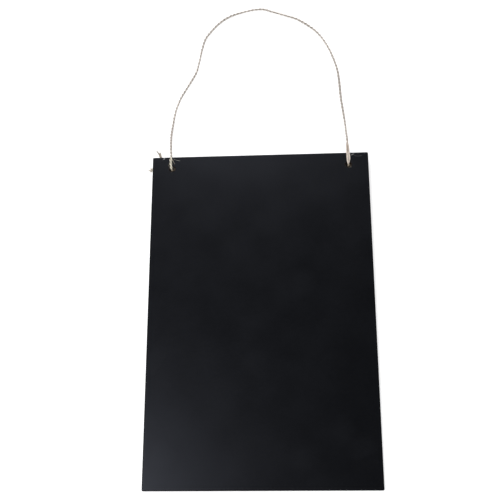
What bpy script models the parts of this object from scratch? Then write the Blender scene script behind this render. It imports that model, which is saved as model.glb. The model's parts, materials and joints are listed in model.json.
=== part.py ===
"""Small hanging chalkboard: a thin painted panel and the jute twine that it hangs by.

The panel lies face up on a flat surface, the plane Z = 0, with its top edge towards +Y. One length
of two-ply twine makes the hanging loop. At each end it lies on the panel's face, goes down through
a drilled hole near a top corner, and is stopped behind the panel by an overhand knot. The left end
has sprung open beyond its knot, so its two plies stick out as two tails. The panel leans back on
its lower edge and on the two knots, which hold its top end a few millimetres up.

Lengths are in metres. The panel, its holes and the knots are made in the panel's own frame: X to
the right, Y up the panel from its lower edge, Z out of its face from its back.
"""

import math

import bmesh
import bpy
import numpy as np
from mathutils import Matrix, Vector

# The panel
PANEL_WIDTH = 0.200
PANEL_HEIGHT = 0.300
PANEL_THICKNESS = 0.004
CORNER_RADIUS = 0.0012
ARRIS_RADIUS = 0.0008

# The drilled holes
HOLE_DIAMETER = 0.0055
HOLE_SIDE_INSET = 0.018
HOLE_TOP_INSET = 0.0115
CUT_OVERRUN = 0.002

# The twine
CORD_DIAMETER = 0.002
PLY_DIAMETER = 0.0012
CORD_SPACING = 0.0054
PLY_SPACING = 0.0016
REST_GAP = 0.0001
FACE_GAP = 0.0003
BEND_GAP = 0.0002
JOIN_GAP = 0.0003

# The knots
KNOT_SELF_GAP = 0.00045
KNOT_FACE_GAP = 0.0004
KNOT_BEND_RADIUS = 0.002
KNOT_SPACING = 0.0006
LEFT_END_LENGTH = 0.007
RIGHT_END_LENGTH = 0.008
KNOT_RING_SHARE = 2.245
NEXT_STRETCH_SHARE = 2.5
LEFT_END_HEADING = math.radians(135)
RIGHT_END_HEADING = math.radians(140)

# The hanging loop, from the left hole round to the right one. Each point is a share of a hole's
# distance from the middle, of the loop's reach past the panel's top edge, and of the cord's height
# over that edge above its height on the surface.
LOOP_REACH = 0.163
LOOP_ROUTE_SHARES = (
    (-1.008, 0.000, 1.000),
    (-1.023, 0.062, 0.832),
    (-1.032, 0.123, 0.479),
    (-1.033, 0.177, 0.170),
    (-1.023, 0.225, 0.011),
    (-1.000, 0.309, 0.000),
    (-0.970, 0.366, 0.000),
    (-0.927, 0.420, 0.000),
    (-0.869, 0.473, 0.000),
    (-0.810, 0.528, 0.000),
    (-0.756, 0.583, 0.000),
    (-0.734, 0.631, 0.000),
    (-0.716, 0.679, 0.000),
    (-0.694, 0.741, 0.000),
    (-0.652, 0.812, 0.000),
    (-0.578, 0.867, 0.000),
    (-0.491, 0.916, 0.000),
    (-0.398, 0.952, 0.000),
    (-0.294, 0.976, 0.000),
    (-0.168, 0.994, 0.000),
    (-0.056, 1.005, 0.000),
    (0.052, 1.005, 0.000),
    (0.162, 0.985, 0.000),
    (0.346, 0.950, 0.000),
    (0.461, 0.926, 0.000),
    (0.616, 0.869, 0.000),
    (0.706, 0.824, 0.000),
    (0.777, 0.769, 0.000),
    (0.838, 0.706, 0.000),
    (0.886, 0.636, 0.000),
    (0.922, 0.567, 0.000),
    (0.938, 0.492, 0.000),
    (0.951, 0.373, 0.000),
    (0.970, 0.293, 0.000),
    (0.988, 0.193, 0.099),
    (0.993, 0.135, 0.406),
    (0.999, 0.085, 0.711),
    (1.001, 0.035, 0.943),
    (1.002, 0.000, 1.000),
)

# The two tails of the left end, each from where the plies part. Each point is measured from the
# left hole: to the right and towards the top edge, in metres over the surface that they lie on.
UPPER_TAIL_ROUTE = (
    (-0.0083, 0.0085),
    (-0.0105, 0.0122),
    (-0.0126, 0.0160),
    (-0.0140, 0.0185),
    (-0.0159, 0.0213),
)
LOWER_TAIL_ROUTE = (
    (-0.0092, 0.0057),
    (-0.0123, 0.0050),
    (-0.0160, 0.0041),
    (-0.0196, 0.0032),
    (-0.0234, 0.0026),
)

# How finely round shapes are divided
CORNER_SEGMENTS = 6
ARRIS_SEGMENTS = 4
HOLE_SEGMENTS = 40
CORD_BEVEL_RESOLUTION = 2
CURVE_STEPS = 24
KNOT_STEPS = 240
BEND_STEPS = 16
ROUND_PROFILE_SHARE = 0.5
SMOOTH_ANGLE = math.radians(35)

# Sizes that follow from the ones above
CORD_RADIUS = CORD_DIAMETER / 2
HOLE_X = PANEL_WIDTH / 2 - HOLE_SIDE_INSET
HOLE_Y = PANEL_HEIGHT - HOLE_TOP_INSET
MOUTH_HEIGHT = PANEL_THICKNESS + FACE_GAP + CORD_RADIUS
BEND_SETBACK = CORD_RADIUS + BEND_GAP
STUB_TOP = MOUTH_HEIGHT - BEND_SETBACK
FLOOR_CORD_HEIGHT = CORD_RADIUS + REST_GAP
FLOOR_PLY_HEIGHT = PLY_DIAMETER / 2 + REST_GAP


def clear_scene():
    """Remove whatever the scene starts with."""
    for item in list(bpy.data.objects):
        bpy.data.objects.remove(item, do_unlink=True)


def make_material(name, colour, roughness):
    """A Principled material with a plain colour."""
    material = bpy.data.materials.new(name)
    material.use_nodes = True
    shader = material.node_tree.nodes["Principled BSDF"]
    shader.inputs["Base Color"].default_value = colour
    shader.inputs["Roughness"].default_value = roughness
    shader.inputs["Metallic"].default_value = 0
    return material


def add_empty(name, location, rotation):
    """An empty that carries what is modelled in its frame."""
    empty = bpy.data.objects.new(name, None)
    empty.location = location
    empty.rotation_euler = rotation
    bpy.context.scene.collection.objects.link(empty)
    return empty


def add_object(name, data, parent):
    """Put a mesh or a curve in the scene, in its parent's frame."""
    item = bpy.data.objects.new(name, data)
    item.parent = parent
    bpy.context.scene.collection.objects.link(item)
    return item


def smooth_line(route, steps):
    """A dense Catmull-Rom line through every point of a route, as an array of places."""
    points = np.array([tuple(point) for point in route])
    first = 2 * points[0] - points[1]
    last = 2 * points[-1] - points[-2]
    padded = np.vstack([first, points, last])
    line = []
    for index in range(len(points) - 1):
        before, start, end, after = padded[index : index + 4]
        knots = [0]
        for a, b in ((before, start), (start, end), (end, after)):
            knots.append(knots[-1] + math.sqrt(np.linalg.norm(b - a)))
        for at in np.linspace(knots[1], knots[2], steps, endpoint=False):
            line.append(catmull_point((before, start, end, after), knots, at))
    line.append(points[-1])
    return np.array(line)


def catmull_point(controls, knots, at):
    """One place on a Catmull-Rom stretch, by repeated blending of its four control points."""
    p0, p1, p2, p3 = controls
    t0, t1, t2, t3 = knots
    first = blend(p0, p1, t0, t1, at)
    second = blend(p1, p2, t1, t2, at)
    third = blend(p2, p3, t2, t3, at)
    early = blend(first, second, t0, t2, at)
    late = blend(second, third, t1, t3, at)
    return blend(early, late, t1, t2, at)


def blend(start, end, low, high, at):
    """The place between two others, as far along as a number is between two others."""
    share = (at - low) / (high - low)
    return (1 - share) * start + share * end


def evenly_spaced(line, spacing):
    """The same line with its points about one spacing apart, its ends kept."""
    lengths = np.linalg.norm(np.diff(line, axis=0), axis=1)
    along = np.concatenate([[0], np.cumsum(lengths)])
    count = max(2, round(along[-1] / spacing) + 1)
    stops = np.linspace(0, along[-1], count)
    return np.stack([np.interp(stops, along, line[:, axis]) for axis in range(3)], axis=1)


def cord_curve(name, points, diameter, material, parent):
    """A round cord of one unbroken POLY spline with closed ends."""
    curve = bpy.data.curves.new(name, "CURVE")
    curve.dimensions = "3D"
    curve.twist_mode = "MINIMUM"
    curve.bevel_depth = diameter / 2
    curve.bevel_resolution = CORD_BEVEL_RESOLUTION
    curve.use_fill_caps = True
    spline = curve.splines.new("POLY")
    spline.points.add(len(points) - 1)
    for point, place in zip(spline.points, points):
        point.co = Vector(place).to_4d()
    curve.materials.append(material)
    return add_object(name, curve, parent)


def overhand_line(end_length):
    """The centreline of an overhand knot and of the cord on both sides of it.

    The cord comes down a hole whose axis is the Z axis and whose lower mouth is at Z = 0. It turns
    level, winds twice round a ring as an opened trefoil, and leaves level along the lower layer.
    """
    swing = (CORD_DIAMETER + KNOT_SELF_GAP) / 2
    ring = KNOT_RING_SHARE * swing
    middle_height = -(KNOT_FACE_GAP + CORD_RADIUS + swing)
    sixth = math.pi / 3
    turns = np.linspace(sixth / 2, sixth / 2 + 5 * sixth, KNOT_STEPS)
    radii = ring + swing * np.cos(3 * turns)
    winding = np.stack(
        [
            radii * np.cos(2 * turns),
            radii * np.sin(2 * turns),
            middle_height + swing * np.sin(3 * turns),
        ],
        axis=1,
    )
    heading = level_direction(winding[0], winding[1])
    up = np.array([0, 0, 1])
    bend = [
        winding[0] - KNOT_BEND_RADIUS * (heading * math.sin(angle) - up * (1 - math.cos(angle)))
        for angle in np.linspace(math.pi / 2, 0, BEND_STEPS, endpoint=False)
    ]
    top = bend[0] + up * (STUB_TOP - bend[0][2])
    leaving = winding[-1] + end_length * level_direction(winding[-2], winding[-1])
    line = np.vstack([top, bend, winding, leaving])
    return line - np.array([top[0], top[1], 0])


def level_direction(start, end):
    """The level unit direction from one place to another."""
    step = np.array([end[0] - start[0], end[1] - start[1], 0])
    return step / np.linalg.norm(step)


def turned_to(line, heading):
    """A line turned about the Z axis until its last point lies in a given direction."""
    turn = heading - math.atan2(line[-1][1], line[-1][0])
    spin = np.array(Matrix.Rotation(turn, 3, "Z"))
    return line @ spin.T


def least_self_gap(points, diameter):
    """The narrowest gap between stretches of a cord that are not next to each other."""
    lengths = np.linalg.norm(np.diff(points, axis=0), axis=1)
    along = np.concatenate([[0], np.cumsum(lengths)])
    apart = np.linalg.norm(points[:, None] - points[None], axis=2)
    separate = np.abs(along[:, None] - along[None]) > NEXT_STRETCH_SHARE * diameter
    return apart[separate].min() - diameter


def knot_points(side, end_length, heading):
    """A knot and its stub in the panel's frame, behind the hole on one side."""
    line = turned_to(overhand_line(end_length), heading)
    points = evenly_spaced(line, KNOT_SPACING)
    return points + np.array([side * HOLE_X, HOLE_Y, 0])


def lean_angle(knots):
    """The angle at which the panel leans on its lower back arris and on the lowest of its knots."""
    points = np.vstack(knots)
    along = points[:, 1] - ARRIS_RADIUS
    below = -points[:, 2]
    reach = np.hypot(along, below)
    return float((np.arctan2(below, along) + np.arcsin(CORD_RADIUS / reach)).max())


def panel_frame(angle):
    """The panel's place: leaning by an angle, on the surface, its outline centred on the origin."""
    depth = PANEL_HEIGHT * math.cos(angle) - PANEL_THICKNESS * math.sin(angle)
    location = Vector((0, -depth / 2, -ARRIS_RADIUS * math.sin(angle)))
    return Matrix.Translation(location) @ Matrix.Rotation(angle, 4, "X")


def build_panel(material, parent):
    """The panel: rounded corners, eased arrises and two drilled holes."""
    work = bmesh.new()
    bmesh.ops.create_cube(work, size=1)
    size = Vector((PANEL_WIDTH, PANEL_HEIGHT, PANEL_THICKNESS))
    bmesh.ops.scale(work, vec=size, verts=work.verts)
    bmesh.ops.translate(work, vec=(0, PANEL_HEIGHT / 2, PANEL_THICKNESS / 2), verts=work.verts)
    upright = [edge for edge in work.edges if is_upright(edge)]
    round_edges(work, upright, CORNER_RADIUS, CORNER_SEGMENTS)
    rims = [edge for edge in work.edges if is_rim(edge)]
    round_edges(work, rims, ARRIS_RADIUS, ARRIS_SEGMENTS)
    mesh = bpy.data.meshes.new("board_panel")
    work.to_mesh(mesh)
    work.free()
    mesh.materials.append(material)
    panel = add_object("board_panel", mesh, parent)
    for side, word in ((-1, "left"), (1, "right")):
        drill_hole(panel, side, word, parent)
    mesh.shade_smooth()
    mesh.set_sharp_from_angle(angle=SMOOTH_ANGLE)
    return panel


def is_upright(edge):
    """Whether an edge runs through the panel's thickness."""
    along = edge.verts[1].co - edge.verts[0].co
    return abs(along.z) > PANEL_THICKNESS / 2


def is_rim(edge):
    """Whether an edge borders the panel's face or its back."""
    along = edge.verts[1].co - edge.verts[0].co
    faces = edge.link_faces
    return abs(along.z) < PANEL_THICKNESS / 2 and len({round(abs(f.normal.z)) for f in faces}) == 2


def round_edges(work, edges, radius, segments):
    """Round a set of edges."""
    bmesh.ops.bevel(
        work,
        geom=edges,
        offset=radius,
        offset_type="OFFSET",
        segments=segments,
        profile=ROUND_PROFILE_SHARE,
        affect="EDGES",
        clamp_overlap=True,
    )


def drill_hole(panel, side, word, parent):
    """Cut the hole on one side of the panel, with a round cutter."""
    work = bmesh.new()
    bmesh.ops.create_cone(
        work,
        cap_ends=True,
        segments=HOLE_SEGMENTS,
        radius1=HOLE_DIAMETER / 2,
        radius2=HOLE_DIAMETER / 2,
        depth=PANEL_THICKNESS + 2 * CUT_OVERRUN,
    )
    bmesh.ops.translate(work, vec=(side * HOLE_X, HOLE_Y, PANEL_THICKNESS / 2), verts=work.verts)
    mesh = bpy.data.meshes.new(f"{word}_hole_cutter")
    work.to_mesh(mesh)
    work.free()
    cutter = add_object(f"{word}_hole_cutter", mesh, parent)
    cutter.hide_render = True
    cutter.display_type = "WIRE"
    cut = panel.modifiers.new(f"{word}_hole", "BOOLEAN")
    cut.operation = "DIFFERENCE"
    cut.object = cutter


def loop_points(frame):
    """The hanging loop's centreline in world space, from one hole's mouth to the other's."""
    edge = frame @ Vector((0, PANEL_HEIGHT, MOUTH_HEIGHT))
    rise = edge.z - FLOOR_CORD_HEIGHT
    middle = [
        (
            across * HOLE_X,
            edge.y + out * LOOP_REACH,
            FLOOR_CORD_HEIGHT + up * rise,
        )
        for across, out, up in LOOP_ROUTE_SHARES
    ]
    starts = strand_start(frame, -1)
    ends = strand_start(frame, 1)
    ends.reverse()
    line = smooth_line([*starts, *middle, *ends], CURVE_STEPS)
    return evenly_spaced(line, CORD_SPACING)


def strand_start(frame, side):
    """The straight start of the loop beside one hole, level with the panel's face."""
    places = (BEND_SETBACK, BEND_SETBACK + CORD_DIAMETER, BEND_SETBACK + 2 * CORD_DIAMETER)
    return [frame @ Vector((side * HOLE_X, HOLE_Y + place, MOUTH_HEIGHT)) for place in places]


def build_loop(frame, material):
    """The free twine, on an empty whose origin is on the line that it swings about."""
    pivot_place = frame @ Vector((0, HOLE_Y, MOUTH_HEIGHT))
    pivot = add_empty("loop_pivot", pivot_place, (0, 0, 0))
    points = loop_points(frame) - np.array(pivot_place)
    return cord_curve("hanging_twine", points, CORD_DIAMETER, material, pivot)


def build_tail(name, frame, knot, side_shift, route, material):
    """One ply of the sprung left end, from beside the cord's cut end to its own tip."""
    end = frame @ Vector(knot[-1])
    before = frame @ Vector(knot[-2])
    heading = (end - before).normalized()
    across = heading.cross(Vector((0, 0, 1))).normalized()
    root = end + heading * JOIN_GAP + across * side_shift
    hole = frame @ Vector((-HOLE_X, HOLE_Y, 0))
    places = [root, root + heading * PLY_DIAMETER]
    places += [(hole.x + right, hole.y + up, FLOOR_PLY_HEIGHT) for right, up in route]
    points = evenly_spaced(smooth_line(places, CURVE_STEPS), PLY_SPACING)
    return cord_curve(name, points, PLY_DIAMETER, material, None)


def main():
    """Model the board, the loop, the knots and the tails."""
    clear_scene()
    paint = make_material("matt_black_paint", (0.012, 0.013, 0.015, 1), 0.7)
    loop_jute = make_material("jute_loop", (0.46, 0.37, 0.26, 1), 0.95)
    left_jute = make_material("jute_left_knot", (0.45, 0.36, 0.25, 1), 0.95)
    right_jute = make_material("jute_right_knot", (0.44, 0.35, 0.25, 1), 0.95)
    upper_jute = make_material("jute_upper_tail", (0.47, 0.38, 0.27, 1), 0.95)
    lower_jute = make_material("jute_lower_tail", (0.43, 0.35, 0.25, 1), 0.95)

    left_knot = knot_points(-1, LEFT_END_LENGTH, LEFT_END_HEADING)
    right_knot = knot_points(1, RIGHT_END_LENGTH, RIGHT_END_HEADING)
    frame = panel_frame(lean_angle([left_knot, right_knot]))
    carrier = add_empty("panel_place", frame.to_translation(), frame.to_euler())

    build_panel(paint, carrier)
    cord_curve("left_knot", left_knot, CORD_DIAMETER, left_jute, carrier)
    cord_curve("right_knot", right_knot, CORD_DIAMETER, right_jute, carrier)
    build_loop(frame, loop_jute)
    ply_shift = (PLY_DIAMETER + JOIN_GAP) / 2
    build_tail("left_tail_upper", frame, left_knot, ply_shift, UPPER_TAIL_ROUTE, upper_jute)
    build_tail("left_tail_lower", frame, left_knot, -ply_shift, LOWER_TAIL_ROUTE, lower_jute)
    bpy.context.view_layer.update()

    for name, points in (("left_knot", left_knot), ("right_knot", right_knot)):
        gap = least_self_gap(points, CORD_DIAMETER)
        print(f"{name}: least gap to itself {gap * 1000:.2f} mm")


main()
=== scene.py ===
"""Looks of a small hanging chalkboard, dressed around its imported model.

The painted board lies face up on the plane Z = 0 with its top edge towards +Y, and its jute twine
lies loose beyond that edge. The board, its holes and the knots are made in the board's own frame: X
to the right, Y up the board from its lower edge, Z out of its face from its back. Lengths are in
metres, angles in radians and colours linear.
"""

import json
import logging
import math
from collections.abc import Mapping, Sequence
from dataclasses import dataclass, field
from enum import Enum

import bmesh
import bpy
import numpy as np
from mathutils import Matrix, Vector


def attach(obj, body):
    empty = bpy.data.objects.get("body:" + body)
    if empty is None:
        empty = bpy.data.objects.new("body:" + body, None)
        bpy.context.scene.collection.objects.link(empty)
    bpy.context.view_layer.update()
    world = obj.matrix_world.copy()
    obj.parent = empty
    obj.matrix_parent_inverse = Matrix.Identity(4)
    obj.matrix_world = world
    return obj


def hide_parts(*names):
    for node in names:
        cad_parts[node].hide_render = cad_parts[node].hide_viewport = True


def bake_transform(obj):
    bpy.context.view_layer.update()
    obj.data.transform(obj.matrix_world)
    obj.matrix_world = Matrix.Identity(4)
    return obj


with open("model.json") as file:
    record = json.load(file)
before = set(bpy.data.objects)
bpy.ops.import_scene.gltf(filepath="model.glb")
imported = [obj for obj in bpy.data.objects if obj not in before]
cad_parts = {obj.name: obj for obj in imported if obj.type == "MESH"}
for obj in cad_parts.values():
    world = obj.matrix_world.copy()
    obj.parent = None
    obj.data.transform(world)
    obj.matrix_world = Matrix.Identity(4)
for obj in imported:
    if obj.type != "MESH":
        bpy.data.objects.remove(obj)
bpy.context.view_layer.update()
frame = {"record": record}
LOG = logging.getLogger("hanging_chalkboard")

FULL_TURN = 2 * math.pi
SURFACE_GAP = 0.00004

Colour = tuple[float, float, float]
Place = tuple[float, float, float]
Range = tuple[float, float]
Stops = tuple[tuple[float, float], ...]
Stretch = tuple[float, float, float, float]
Socket = bpy.types.NodeSocket


class Body(Enum):
    """The bodies that pieces ride on."""

    BOARD = "board"
    LOOP = "hanging_loop"


class Slot(Enum):
    """The record's material slots."""

    PAINT = "chalk_paint"
    JUTE = "jute"


class Side(Enum):
    """The two holes, by the sign of their place across the board."""

    LEFT = -1
    RIGHT = 1


def pick_socket(sockets: Sequence[Socket], key: str | int) -> Socket:
    """Find a socket among those in use.

    Args:
        sockets: A node's inputs or outputs.
        key: The socket's name, or its place among the enabled ones.

    Returns:
        The socket.
    """
    enabled = [socket for socket in sockets if socket.enabled]
    if isinstance(key, int):
        return enabled[key]
    return next(socket for socket in enabled if socket.name == key)


@dataclass(frozen=True)
class Grain:
    """A noise pattern: how fine it is, how many finer layers it has and how strong they are."""

    scale: float
    detail: float = 2.0
    roughness: float = 0.5


class NodeSheet:
    """A node tree under construction."""

    def __init__(self, tree: bpy.types.NodeTree) -> None:
        """Keep the tree that the nodes go into."""
        self.tree = tree

    def add(
        self,
        kind: str,
        settings: Mapping[str, object] | None = None,
        inputs: Mapping[str | int, object] | None = None,
    ) -> bpy.types.Node:
        """Add a node.

        Args:
            kind: Blender's name for the node type.
            settings: The node's own properties.
            inputs: Values or other nodes' outputs, by input name or place.

        Returns:
            The node.
        """
        node = self.tree.nodes.new(kind)
        for name, value in (settings or {}).items():
            setattr(node, name, value)
        for key, value in (inputs or {}).items():
            self.feed(pick_socket(node.inputs, key), value)
        return node

    def feed(self, socket: Socket, value: object) -> None:
        """Link an output into a socket, or set the socket's value.

        Args:
            socket: The input that is fed.
            value: Another node's output, or a plain value.
        """
        if isinstance(value, Socket):
            self.tree.links.new(value, socket)
        else:
            socket.default_value = value

    def out(
        self,
        kind: str,
        settings: Mapping[str, object] | None = None,
        inputs: Mapping[str | int, object] | None = None,
        output: str | int = 0,
    ) -> Socket:
        """Add a node and return one of its outputs."""
        return pick_socket(self.add(kind, settings, inputs).outputs, output)

    def calc(self, operation: str, *values: object) -> Socket:
        """A Math node's result."""
        return self.out("ShaderNodeMath", {"operation": operation}, dict(enumerate(values)))

    def vector(self, operation: str, *values: object) -> Socket:
        """A Vector Math node's result."""
        return self.out("ShaderNodeVectorMath", {"operation": operation}, dict(enumerate(values)))

    def stretched(
        self, value: object, source: Range, low: object = 0.0, high: object = 1.0
    ) -> Socket:
        """A value mapped from one range to another, held at its ends.

        Args:
            value: What is mapped.
            source: The range that the value comes in.
            low: What the start of that range becomes.
            high: What the end of that range becomes.

        Returns:
            The mapped value.
        """
        start, end = source
        inputs = {"Value": value, "From Min": start, "From Max": end, "To Min": low, "To Max": high}
        return self.out("ShaderNodeMapRange", {"clamp": True}, inputs)

    def noise(self, vector: object, grain: Grain) -> Socket:
        """A noise texture's strength.

        Args:
            vector: The coordinates that it lies in.
            grain: How fine and how rough it is.

        Returns:
            The strength.
        """
        inputs = {
            "Vector": vector,
            "Scale": grain.scale,
            "Detail": grain.detail,
            "Roughness": grain.roughness,
        }
        return self.out("ShaderNodeTexNoise", {"noise_dimensions": "3D"}, inputs, "Fac")


class MaterialSheet(NodeSheet):
    """A material's nodes, ending in one Principled shader."""

    def __init__(self, name: str) -> None:
        """Start a material with an empty tree, a shader and its output.

        Args:
            name: The material's name.
        """
        self.material = bpy.data.materials.new(name)
        self.material.use_nodes = True
        super().__init__(self.material.node_tree)
        self.tree.nodes.clear()
        self.shader = self.add("ShaderNodeBsdfPrincipled")
        self.add("ShaderNodeOutputMaterial", inputs={"Surface": self.shader.outputs[0]})

    def shade(self, name: str, value: object) -> None:
        """Set or link one of the shader's inputs."""
        self.feed(pick_socket(self.shader.inputs, name), value)

    def mix(self, share: object, first: object, second: object, blend: str = "MIX") -> Socket:
        """A blend of two colours.

        Args:
            share: How far the blend goes.
            first: The colour that it starts from.
            second: The colour that is blended in.
            blend: Blender's name for the kind of blend.

        Returns:
            The blended colour.
        """
        settings = {"data_type": "RGBA", "blend_type": blend}
        inputs = {"Factor": share, "A": opaque(first), "B": opaque(second)}
        return self.out("ShaderNodeMix", settings, inputs, "Result")

    def times(self, first: object, second: object) -> Socket:
        """The product of two colours."""
        return self.mix(1.0, first, second, "MULTIPLY")

    def bump(self, height: object, distance: float, strength: float) -> Socket:
        """A bump from a height."""
        inputs = {"Height": height, "Distance": distance, "Strength": strength}
        return self.out("ShaderNodeBump", None, inputs, "Normal")


def opaque(value: object) -> object:
    """A plain colour with its alpha, or what was given."""
    return (*value, 1.0) if isinstance(value, tuple) and len(value) == 3 else value


class GeometrySheet(NodeSheet):
    """A geometry tree with named inputs, which ends in Realize Instances and Set Material."""

    SOCKETS = {
        "float": "NodeSocketFloat",
        "int": "NodeSocketInt",
        "material": "NodeSocketMaterial",
    }

    def __init__(self, name: str, inputs: Mapping[str, str]) -> None:
        """Start a tree.

        Args:
            name: The tree's name.
            inputs: The kind of each named input, as a key of SOCKETS.
        """
        super().__init__(bpy.data.node_groups.new(name, "GeometryNodeTree"))
        face = self.tree.interface
        face.new_socket(name="Geometry", in_out="INPUT", socket_type="NodeSocketGeometry")
        for label, kind in inputs.items():
            face.new_socket(name=label, in_out="INPUT", socket_type=self.SOCKETS[kind])
        face.new_socket(name="Geometry", in_out="OUTPUT", socket_type="NodeSocketGeometry")
        self.start = self.add("NodeGroupInput")

    def given(self, label: str) -> Socket:
        """One of the tree's own inputs."""
        return pick_socket(self.start.outputs, label)

    def named(self, label: str, kind: str = "FLOAT") -> Socket:
        """A named attribute's values."""
        return self.out("GeometryNodeInputNamedAttribute", {"data_type": kind}, {"Name": label})

    def keep(self, geometry: object, label: str, kind: str, value: object) -> Socket:
        """The geometry with one more named attribute on its points.

        Args:
            geometry: What gets the attribute.
            label: The attribute's name.
            kind: Blender's name for its type.
            value: Its value at each point.

        Returns:
            The geometry.
        """
        settings = {"data_type": kind, "domain": "POINT"}
        inputs = {"Geometry": geometry, "Name": label, "Value": value}
        return self.out("GeometryNodeStoreNamedAttribute", settings, inputs)

    def moved(self, geometry: object, offset: object) -> Socket:
        """The geometry with its points moved by an offset."""
        return self.out("GeometryNodeSetPosition", None, {"Geometry": geometry, "Offset": offset})

    def swept(self, curve: object, profile: object, scale: object) -> Socket:
        """A closed tube along a curve."""
        inputs = {"Curve": curve, "Profile Curve": profile, "Scale": scale, "Fill Caps": True}
        return self.out("GeometryNodeCurveToMesh", None, inputs)

    def end(self, geometry: object) -> None:
        """Close the tree with smooth shading, real geometry and its material.

        Args:
            geometry: What the tree has made.
        """
        smooth = self.out("GeometryNodeSetShadeSmooth", None, {"Geometry": geometry})
        real = self.out("GeometryNodeRealizeInstances", None, {"Geometry": smooth})
        inputs = {"Geometry": real, "Material": self.given("Material")}
        dressed = self.out("GeometryNodeSetMaterial", None, inputs)
        self.add("NodeGroupOutput", None, {"Geometry": dressed})

    def bake(
        self, name: str, source: bpy.types.Mesh, inputs: Mapping[str, object]
    ) -> bpy.types.Object:
        """Run the tree on a mesh and keep the result as a plain mesh.

        Args:
            name: The finished piece's name.
            source: What goes into the tree.
            inputs: The tree's inputs, by name.

        Returns:
            The finished object, with no modifier.
        """
        carrier = add_to_scene(f"{name}_source", source)
        modifier = carrier.modifiers.new(self.tree.name, "NODES")
        modifier.node_group = self.tree
        for item in self.tree.interface.items_tree:
            if item.in_out == "INPUT" and item.name in inputs:
                modifier[item.identifier] = inputs[item.name]
        graph = bpy.context.evaluated_depsgraph_get()
        mesh = bpy.data.meshes.new_from_object(carrier.evaluated_get(graph), depsgraph=graph)
        carrier.modifiers.remove(modifier)
        bpy.data.objects.remove(carrier, do_unlink=True)
        mesh.name = name
        return add_to_scene(name, mesh)


def add_to_scene(name: str, data: bpy.types.ID | None) -> bpy.types.Object:
    """Put a data-block in the scene as an object at the origin.

    Args:
        name: The object's name.
        data: Its mesh, camera or lamp.

    Returns:
        The object.
    """
    item = bpy.data.objects.new(name, data)
    bpy.context.scene.collection.objects.link(item)
    return item


def mesh_points(mesh: bpy.types.Mesh) -> np.ndarray:
    """A mesh's points as an array.

    Args:
        mesh: The mesh.

    Returns:
        One row for each point.
    """
    flat = np.zeros(len(mesh.vertices) * 3)
    mesh.vertices.foreach_get("co", flat)
    return flat.reshape(-1, 3)


def set_mesh_points(mesh: bpy.types.Mesh, points: np.ndarray) -> None:
    """Put a mesh's points where an array says."""
    mesh.vertices.foreach_set("co", points.astype(np.float32).ravel())
    mesh.update()


def recorded_lean() -> float:
    """The board's lean, from the direction that its writing face looks in."""
    mounts = {mount["name"]: mount for mount in frame["record"]["mounts"]}
    return math.asin(-mounts["writing_face"]["axis"][1])


@dataclass(frozen=True)
class BoardSpace:
    """The board's sizes and its place in the world."""

    width: float = 0.200
    height: float = 0.300
    thickness: float = 0.004
    arris_radius: float = 0.0008
    hole_diameter: float = 0.0055
    hole_side_inset: float = 0.018
    hole_top_inset: float = 0.0115
    cord_radius: float = 0.001
    face_gap: float = 0.0003
    lean: float = field(default_factory=recorded_lean)

    @property
    def hole_x(self) -> float:
        """How far each hole is from the middle."""
        return self.width / 2 - self.hole_side_inset

    @property
    def hole_y(self) -> float:
        """How far up the board the holes are."""
        return self.height - self.hole_top_inset

    @property
    def cord_height(self) -> float:
        """How far above the back a cord's middle is where it lies on the face."""
        return self.thickness + self.face_gap + self.cord_radius

    def place(self) -> Matrix:
        """The board's frame: leaning, on the surface, its outline centred on the origin.

        Returns:
            The frame, from the board to the world.
        """
        depth = self.height * math.cos(self.lean) - self.thickness * math.sin(self.lean)
        location = Vector((0, -depth / 2, -self.arris_radius * math.sin(self.lean)))
        return Matrix.Translation(location) @ Matrix.Rotation(self.lean, 4, "X")

    def to_world(self, points: Sequence[Place]) -> np.ndarray:
        """Points in the board's frame, as world points."""
        matrix = np.array(self.place())
        return np.atleast_2d(points) @ matrix[:3, :3].T + matrix[:3, 3]

    def to_board(self, points: np.ndarray) -> np.ndarray:
        """World points, as points in the board's frame."""
        matrix = np.array(self.place().inverted())
        return np.atleast_2d(points) @ matrix[:3, :3].T + matrix[:3, 3]

    def beside_hole(self, side: Side, points: Sequence[Place]) -> np.ndarray:
        """Points measured from one hole's axis at the board's back, as world points."""
        return self.to_world(np.array(points) + np.array([side.value * self.hole_x, self.hole_y, 0]))

    def mouth(self, side: Side) -> Vector:
        """The place on the swing axis where the cord's middle comes out of one hole."""
        return Vector(self.beside_hole(side, [(0, 0, self.cord_height)])[0])


@dataclass(frozen=True)
class PhotoCamera:
    """The camera, at the angle that the picture was taken from."""

    place: Place = (0.03246, -0.16866, 0.70215)
    target: Place = (-0.00977, 0.06009, 0.0)
    roll: float = math.radians(-0.106)
    focal_length_mm: float = 58.46
    sensor_width_mm: float = 36.0
    near: float = 0.01
    far: float = 20.0

    def build(self) -> None:
        """Make the camera and put it in use."""
        data = bpy.data.cameras.new("photo_camera")
        data.lens = self.focal_length_mm
        data.sensor_width = self.sensor_width_mm
        data.clip_start = self.near
        data.clip_end = self.far
        camera = add_to_scene("photo_camera", data)
        ahead = (Vector(self.target) - Vector(self.place)).normalized()
        right = ahead.cross(Vector((0, 1, 0))).normalized()
        up = right.cross(ahead)
        turn = Matrix((right, up, -ahead)).transposed()
        camera.matrix_world = (
            Matrix.Translation(self.place) @ turn.to_4x4() @ Matrix.Rotation(self.roll, 4, "Z")
        )
        bpy.context.scene.camera = camera


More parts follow.
